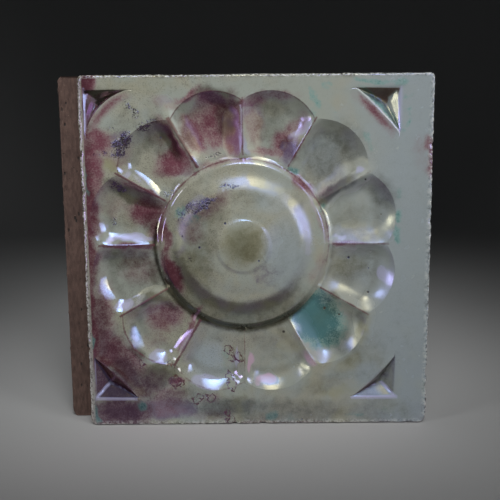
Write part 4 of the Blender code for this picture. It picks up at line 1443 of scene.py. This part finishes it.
# Milky glaze and painted sheen
MILKY_AND_PAINTED_SHEEN = (0.43, 0.47, 0.445)
WINE_RED = (0.14, 0.045, 0.062)
WINE_PALE = (0.235, 0.15, 0.158)
TURQUOISE = (0.058, 0.155, 0.155)
TURQUOISE_PALE = (0.16, 0.30, 0.275)
VIOLET_GREY = (0.14, 0.11, 0.16)
BLUE_VIOLET = (0.045, 0.028, 0.065)
CRUST_BROWN = (0.015, 0.01, 0.014)
OLIVE_YELLOW = (0.26, 0.25, 0.15)
EDGE_WINE = (0.10, 0.035, 0.045)
CRAWL_RED = (0.07, 0.015, 0.02)
# Pale glaze and painted glints on the beads of the rim
PALE_BEAD_AND_GLINT = (0.62, 0.62, 0.58)
BEAD_GAP = (0.05, 0.035, 0.03)
DRIP_GREY = (0.30, 0.29, 0.25)
CLAY_BROWN = (0.135, 0.082, 0.064)
CLAY_DARK = (0.07, 0.04, 0.032)
CLAY_SAND = (0.30, 0.22, 0.17)
PINHOLE = (0.02, 0.017, 0.015)

FILM_CREAM = 262.0
FILM_LAVENDER = 345.0
FILM_IOR = 1.70
GLAZE_IOR = 1.5
CLAY_ROUGHNESS = 0.88
SHARP_ANGLE = math.radians(42)
print("films of", FILM_CREAM, "and", FILM_LAVENDER, "nm over glaze of index", GLAZE_IOR)

# %% [markdown]
# Small marks in their places
#
# A burst bubble leaves a dark dot, and glaze that crawled leaves a thin dark loop. Each is a distance
# in the shader: to a point for the dot, and to a circle for the loop, whose ground is bent by noise so
# that the circle comes out curly.

# %% Draw the small marks

# Each pinhole, and each crawl mark, a ring of dark glaze: across and up from the rosette's middle, radius
PINHOLES = (
    (59.5, -8.5, 1), (46, -38, 1.1), (54.5, -42, 0.8), (71, -29, 0.9), (71, -15, 0.5), (77.5, 16, 0.5),
    (68, 36, 0.7), (22.5, -51.5, 1.1), (-24.5, -0.5, 0.9), (-10, 13, 0.9), (8.5, -8, 0.7),
    (-34, 5.5, 0.6), (-45.5, 60, 0.6), (-28, 47, 0.5), (33, -103, 0.6),
)
CRAWL_MARKS = (
    (-9.5, -62.5, 2.3), (-7.5, -67.5, 1.5), (-4.2, -66.5, 2.6), (-9, -78, 2.2), (-7.5, -82.5, 2.6),
    (-10.5, -99.5, 2), (-8.5, -103.8, 2.4), (-40, -79.5, 3.2), (-37, -80.5, 2), (-59.5, -68, 1.8),
    (-28, -91, 2), (-26, -88, 1.6), (-43, -69.5, 1.5), (-20, -90, 2.2),
)
FLAT = (1.0, 0.0, 1.0)
FAR = 9.0
CURL = 6.0


def from_spot(r, flat, across_mm, up_mm):
    """The distance in mm from a place on the face."""
    spot = (ROSETTE_SHIFT + across_mm, 0.0, ROSETTE_HEIGHT + up_mm)
    return r.vector("DISTANCE", flat, spot, output="Value")


def pinholes(r, where):
    """Dark dots where bubbles burst: a few in their real places, and tiny ones scattered by a Voronoi."""
    scattered = 1 - r.cells(where, 5.5).step(0.03, 0.07)
    holes = scattered * r.noise(where, 14).step(0.5, 0.62) * (0.6 - r.attribute("satin") * 0.6)
    flat = r.vector("MULTIPLY", where, FLAT)
    for across_mm, up_mm, radius in PINHOLES:
        holes = holes.at_least(1 - from_spot(r, flat, across_mm, up_mm).step(radius * 0.45, radius))
    return holes


def crawl_marks(r, where):
    """Thin curly loops: near each circle of the list, on a ground bent by noise, and broken in places."""
    wobble = r.vector("SUBTRACT", r.noise(where, 2.6, output="Color"), (0.5, 0.5, 0.5))
    ground = r.vector("ADD", where, r.vector("MULTIPLY", wobble, (CURL, 0.0, CURL)))
    flat = r.vector("MULTIPLY", ground, FLAT)
    nearest = FAR
    for across_mm, up_mm, radius in CRAWL_MARKS:
        nearest = (from_spot(r, flat, across_mm, up_mm) - radius).size().at_most(nearest)
    return (1 - nearest.step(0.15, 0.6)) * r.noise(where, 1.8).step(0.36, 0.48)


print(len(PINHOLES), "pinholes and", len(CRAWL_MARKS), "crawl marks")

# %% [markdown]
# The colour of the glaze, in layers
#
# Each painted mask is added to three sizes of noise before a threshold, so that its edge is ragged and
# its inside mottled, as where two glazes boiled through each other. Layers lie on one another from
# broad to fine: the grey-green ground, pools with painted shade, milky streaks with painted sheen,
# lilac, wine, turquoise, painted shade, painted highlights, painted shadow, dark lines over edges,
# crust, beads with painted glints, and small marks.

# %% Mix the colour of the glaze


def glaze_colour(r, where):
    """The glaze's colour and the masks that its relief and gloss need too."""
    broad = r.noise(where, 22, detail=3, warp=0.5)
    fine = r.noise(where, 4.5, detail=5, rough=0.62, warp=0.3)
    dust = r.noise(where, 0.9, detail=3, rough=0.7)
    ragged = (broad - 0.5) * 0.5 + (fine - 0.5) * 1.2 + (dust - 0.5) * 0.7

    def torn(mask, amount, low, high, near=None):
        """A mask with a ragged edge, kept near the painted place if near is given."""
        edge = (mask + ragged * amount).step(low, high)
        return edge if near is None else edge * mask.step(0.0, near)

    colour = r.mix(broad.step(0.38, 0.62), CELADON, CELADON_WARM)
    colour = r.mix(r.attribute("cool"), colour, CELADON_COOL)
    smooth = r.attribute("satin")
    colour = r.mix((fine - 0.5).step(-0.02, 0.25) * (0.3 - smooth * 0.22), colour, CELADON_DEEP)
    dots = r.noise(where, 0.6, detail=2, rough=0.6)
    speckle = (dots + (broad - 0.5) * 0.3).step(0.54, 0.68) * (0.5 - smooth * 0.4)
    colour = r.mix(speckle, colour, SPECKLE)
    colour = r.mix(torn(r.attribute("olive"), 0.4, 0.1, 1.1) * 0.85, colour, OLIVE_YELLOW)
    # Thick pooled glaze, with painted shade under the boss
    colour = r.mix(torn(r.attribute("pool_and_shade") * 0.75, 0.25, 0.1, 0.9) * 0.8, colour, CELADON_DEEP)
    # Milky glaze, and painted sheen and reflections
    colour = r.mix(torn(r.attribute("milky_and_painted_sheen"), 0.5, 0.2, 1.0, near=0.2) * 0.85, colour, MILKY_AND_PAINTED_SHEEN)
    colour = r.mix(torn(r.attribute("lilac"), 0.8, 0.2, 1.0, near=0.15) * 0.9, colour, VIOLET_GREY)
    wine = r.attribute("wine")
    colour = r.mix(torn(wine, 0.5, 0.0, 0.95, near=0.25) * 0.85, colour, WINE_PALE)
    mottle = (fine - 0.5) * 1.3 + (dust - 0.5) * 1.6 + (broad - 0.5) * 0.5
    deep_wine = (wine + mottle * 0.8).step(0.4, 1.25) * wine.step(0.0, 0.25)
    colour = r.mix(deep_wine * 0.97, colour, WINE_RED)
    teal = r.attribute("teal")
    colour = r.mix(torn(teal, 1.1, 0.2, 0.8, near=0.2) * 0.7, colour, TURQUOISE_PALE)
    deep_teal = (teal + ragged * 1.2 + (dust - 0.5) * 0.8).step(0.6, 1.3) * teal.step(0.0, 0.2)
    colour = r.mix(deep_teal * 0.9, colour, TURQUOISE)
    # Painted shade: the colour is multiplied by a darker tint, with darker glaze in places
    shaded = torn(r.attribute("shaded"), 0.5, 0.1, 1.2)
    colour = r.mix(shaded * 0.88, colour, r.vector("MULTIPLY", colour, SHADE))
    # Painted highlights in lavender-blue and pink
    lustre_and_painted_highlight = r.attribute("lustre_and_painted_highlight") + ragged * 0.4
    colour = r.mix(lustre_and_painted_highlight.step(0.25, 0.9) * 0.4 + lustre_and_painted_highlight.step(1.1, 1.7) * 0.4, colour, PAINTED_HIGHLIGHT_BLUE)
    colour = r.mix(torn(r.attribute("painted_pink_highlight"), 0.4, 0.25, 0.9) * 0.7, colour, PAINTED_HIGHLIGHT_PINK)
    # Painted shadow: the colour goes near black at the boss's foot and in the pits
    painted_shadow = torn(r.attribute("painted_shadow"), 0.4, 0.15, 0.95)
    colour = r.mix(painted_shadow * 0.92, colour, r.vector("MULTIPLY", colour, PAINTED_SHADOW_TINT))
    colour = r.mix(torn(r.attribute("thin"), 0.8, 0.25, 0.95, near=0.2) * 0.85, colour, EDGE_WINE)
    crust = r.attribute("crust")
    crust = (crust + (dust - 0.5) * 3.8 + (fine - 0.5) * 2.2).step(0.6, 1.1) * crust.step(0.05, 0.4)
    specks = r.noise(where, 1.4, detail=3, rough=0.7).step(0.44, 0.56)
    colour = r.mix(crust * 0.9, colour, r.mix(specks, CRUST_BROWN, BLUE_VIOLET))
    drip = r.attribute("drip")
    colour = r.mix(torn(drip, 0.9, 0.3, 0.9, near=0.2) * 0.85, colour, DRIP_GREY)
    beads = r.noise(where, 1.5, detail=3, rough=0.6)
    colour = r.mix(drip * (1 - beads.step(0.36, 0.46)) * 0.6, colour, BEAD_GAP)
    # Pale glaze and painted glints on the rim's beads, and dark gaps between them
    rim = r.attribute("rim")
    colour = r.mix(rim * beads.step(0.47, 0.6) * 0.9, colour, PALE_BEAD_AND_GLINT)
    colour = r.mix(rim * (1 - beads.step(0.36, 0.45)) * 0.9, colour, BEAD_GAP)
    crawl = crawl_marks(r, where)
    colour = r.mix(crawl * 0.95, colour, CRAWL_RED)
    holes = pinholes(r, where)
    colour = r.mix(holes, colour, PINHOLE)
    return colour, {"crumbs": crust * (0.3 + specks), "crawl": crawl, "holes": holes, "beads": rim * beads}


# %% [markdown]
# Bare clay
#
# Behind the glaze the body is brown, dragged upwards by the wire that cut it, with pits and pale grains
# of sand. Squeezing the coordinates before a noise draws it out into streaks.

# %% Mix the clay


def clay_colour(r, where):
    """Brown clay with dark streaks that run upwards and pale grains of sand."""
    long = r.vector("MULTIPLY", where, (1.0, 1.0, 0.35))
    drags = r.noise(long, 1.6, detail=5, rough=0.65)
    colour = r.mix(drags.step(0.3, 0.7), CLAY_DARK, CLAY_BROWN)
    broad = r.noise(where, 16, detail=3)
    colour = r.mix(broad.step(0.35, 0.8) * 0.45, colour, CLAY_DARK)
    upright = r.vector("MULTIPLY", where, (1.0, 1.0, 0.55))
    pits = 1 - r.cells(upright, 3.1).step(0.14, 0.24)
    pits = pits * r.noise(where, 9).step(0.48, 0.6)
    colour = r.mix(pits * 0.9, colour, PINHOLE)
    sand = 1 - r.cells(where, 1.7).step(0.1, 0.2)
    colour = r.mix(sand * r.noise(where, 2.6).step(0.55, 0.65) * 0.7, colour, CLAY_SAND)
    return colour, drags * 0.5 + sand * 0.1 - pits * 0.6


# %% [markdown]
# One material for glaze and clay
#
# On the tile the glaze is a skin of glass on the clay, and it stops at a ragged line. Two materials
# would need that line as an edge of the mesh, so one material blends both shaders by the painted glaze
# mask. What is too fine for the mesh, the orange peel, crumbs of crust and beads on the rim, is a Bump.

# %% Join glaze and clay in one material


def stoneware():
    """Glossy glaze with two lustre films over matt brown clay."""
    r = Recipe("stoneware")
    where = r.place()
    colour, marks = glaze_colour(r, where)
    peel = r.noise(where, 2.4, detail=2) * 0.03 + r.noise(where, 8.0, detail=1) * 0.10
    sunk = marks["holes"] * 0.2 + marks["crawl"] * 0.2
    glaze_normal = r.bump(peel + marks["crumbs"] * 0.12 + marks["beads"] * 0.8 - sunk, 0.6)
    shine = 0.07 + r.attribute("satin") * 0.13 + r.noise(where, 6.0, detail=4).step(0.45, 0.8) * 0.10
    dull = r.attribute("dull") * 0.26 + marks["crawl"] * 0.25 + marks["holes"] * 0.4
    inputs = {
        "Base Color": colour,
        "Roughness": shine + dull,
        "IOR": GLAZE_IOR,
        "Thin Film IOR": FILM_IOR,
        "Normal": glaze_normal,
    }
    films = [r.principled({**inputs, "Thin Film Thickness": film}) for film in (FILM_CREAM, FILM_LAVENDER)]
    lustre_and_painted_highlight = r.noise(where, 15, detail=2) + (r.attribute("lilac") + r.attribute("wine")) * 0.15
    lustre_and_painted_highlight = lustre_and_painted_highlight + 0.06 - r.attribute("cream") * 0.3
    lustre_and_painted_highlight = lustre_and_painted_highlight + r.attribute("lustre_and_painted_highlight").at_least(r.attribute("painted_pink_highlight")) * 0.5
    glass = r.blend(0.25 + lustre_and_painted_highlight.step(0.42, 0.6) * 0.75, *films)
    clay, clay_height = clay_colour(r, where)
    grit = r.noise(where, 0.8, detail=4, rough=0.7)
    clay_normal = r.bump(clay_height + grit * 0.25, 0.8)
    body = r.principled({"Base Color": clay, "Roughness": CLAY_ROUGHNESS, "Normal": clay_normal})
    r.finish(r.blend(r.attribute("glaze").step(0.35, 0.65), body, glass))
    print("the material has", len(r.tree.nodes), "nodes")
    return r.material


tile.data.materials.clear()
tile.data.materials.append(stoneware())
tile.data.shade_smooth()
tile.data.set_sharp_from_angle(angle=SHARP_ANGLE)

# %% [markdown]
# The floor
#
# A photographer would stand the tile on a pale sheet of paper that curves up behind it, so that no edge
# of a table shows. A plane with a bent loft would do. This one is a profile of points, level, round a
# quarter circle and up, carried sideways, because then its size and its bend are plain numbers.

# %% Lay the floor
FLOOR_NEAR = -1600.0
FLOOR_BEND = 700.0
FLOOR_ROUND = 500.0
FLOOR_TOP = 2200.0
FLOOR_HALF = 2500.0
FLOOR_POINTS = 33
PAPER = (0.46, 0.46, 0.45, 1)
PAPER_ROUGHNESS = 0.9


def floor_sheet():
    """A sheet whose profile runs level, round a quarter circle and up, carried from side to side."""
    bend = np.linspace(0, np.pi / 2, FLOOR_POINTS)
    end = FLOOR_BEND + FLOOR_ROUND
    y = np.concatenate([[FLOOR_NEAR], FLOOR_BEND + FLOOR_ROUND * np.sin(bend), [end]])
    z = np.concatenate([[0], FLOOR_ROUND * (1 - np.cos(bend)), [FLOOR_TOP]])
    x = np.array([-FLOOR_HALF, FLOOR_HALF])[:, None]
    points = np.stack(np.broadcast_arrays(x, y, z), axis=-1).reshape(-1, 3)
    index = np.arange(len(points)).reshape(2, -1)
    faces = np.stack([index[0, :-1], index[1, :-1], index[1, 1:], index[0, 1:]], axis=-1)
    mesh = bpy.data.meshes.new("floor")
    mesh.from_pydata((points * MM).tolist(), [], faces.tolist())
    mesh.shade_smooth()
    r = Recipe("pale_paper")
    r.finish(r.principled({"Base Color": PAPER, "Roughness": PAPER_ROUGHNESS}))
    mesh.materials.append(r.material)
    return placed("floor", mesh)


floor = floor_sheet()
print("the floor has", len(floor.data.polygons), "faces")

# %% [markdown]
# The lights
#
# The photographed tile mirrors the windows of a room. A studio answers with soft boxes above and at
# both sides. They are area lights, whose size matters more than their strength, because the glaze shows
# each as a bright patch on every slope that faces it. A narrow spread keeps light off the floor in
# front, which would brighten every slope that faces down.

# %% Hang the lights
CENTRE = Vector((0, FACE, 100))

# Each box: degrees to the right of straight ahead and up, as the tile sees it, distance, width and height,
# watts, spread in degrees, and how high on the tile it is aimed
BOXES = {
    "window_above": (6, 51, 650, (430, 220), 0.25, 38, 170),
    "window_right": (49, 16, 680, (230, 460), 0.20, 44, 150),
    "window_left": (-64, 1, 700, (110, 190), 0.07, 50, 130),
    "window_left_high": (-54, 24, 650, (130, 150), 0.04, 44, 140),
    "window_roof": (20, 68, 470, (300, 130), 0.03, 36, 200),
}
DAYLIGHT = (0.97, 0.98, 1.0)
SKY = (0.5, 0.52, 0.55, 1)
SKY_STRENGTH = 0.04


def hang(name, right, up, distance, size, watts, spread, aim):
    """An area light in a direction from the middle of the tile, turned towards the tile."""
    light = bpy.data.lights.new(name, "AREA")
    light.shape = "RECTANGLE"
    light.size = size[0] * MM
    light.size_y = size[1] * MM
    light.energy = watts
    light.color = DAYLIGHT
    light.spread = math.radians(spread)
    a = math.radians(right)
    e = math.radians(up)
    towards = Vector((math.sin(a) * math.cos(e), -math.cos(a) * math.cos(e), math.sin(e)))
    place = CENTRE + distance * towards
    lamp = placed(name, light)
    lamp.location = place * MM
    lamp.rotation_euler = (Vector((0, FACE, aim)) - place).to_track_quat("-Z", "Y").to_euler()


for name, box in BOXES.items():
    hang(name, *box)

world = bpy.data.worlds.new("studio")
world.use_nodes = True
sky = world.node_tree.nodes["Background"]
sky.inputs["Color"].default_value = SKY
sky.inputs["Strength"].default_value = SKY_STRENGTH
bpy.context.scene.world = world
bpy.context.scene.view_settings.view_transform = "Standard"
print(len(BOXES), "soft boxes of", round(sum(box[4] for box in BOXES.values()), 2), "watts in all")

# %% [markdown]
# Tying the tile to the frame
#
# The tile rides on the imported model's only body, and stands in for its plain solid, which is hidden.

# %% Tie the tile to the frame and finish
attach(tile, "root")
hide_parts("tile")
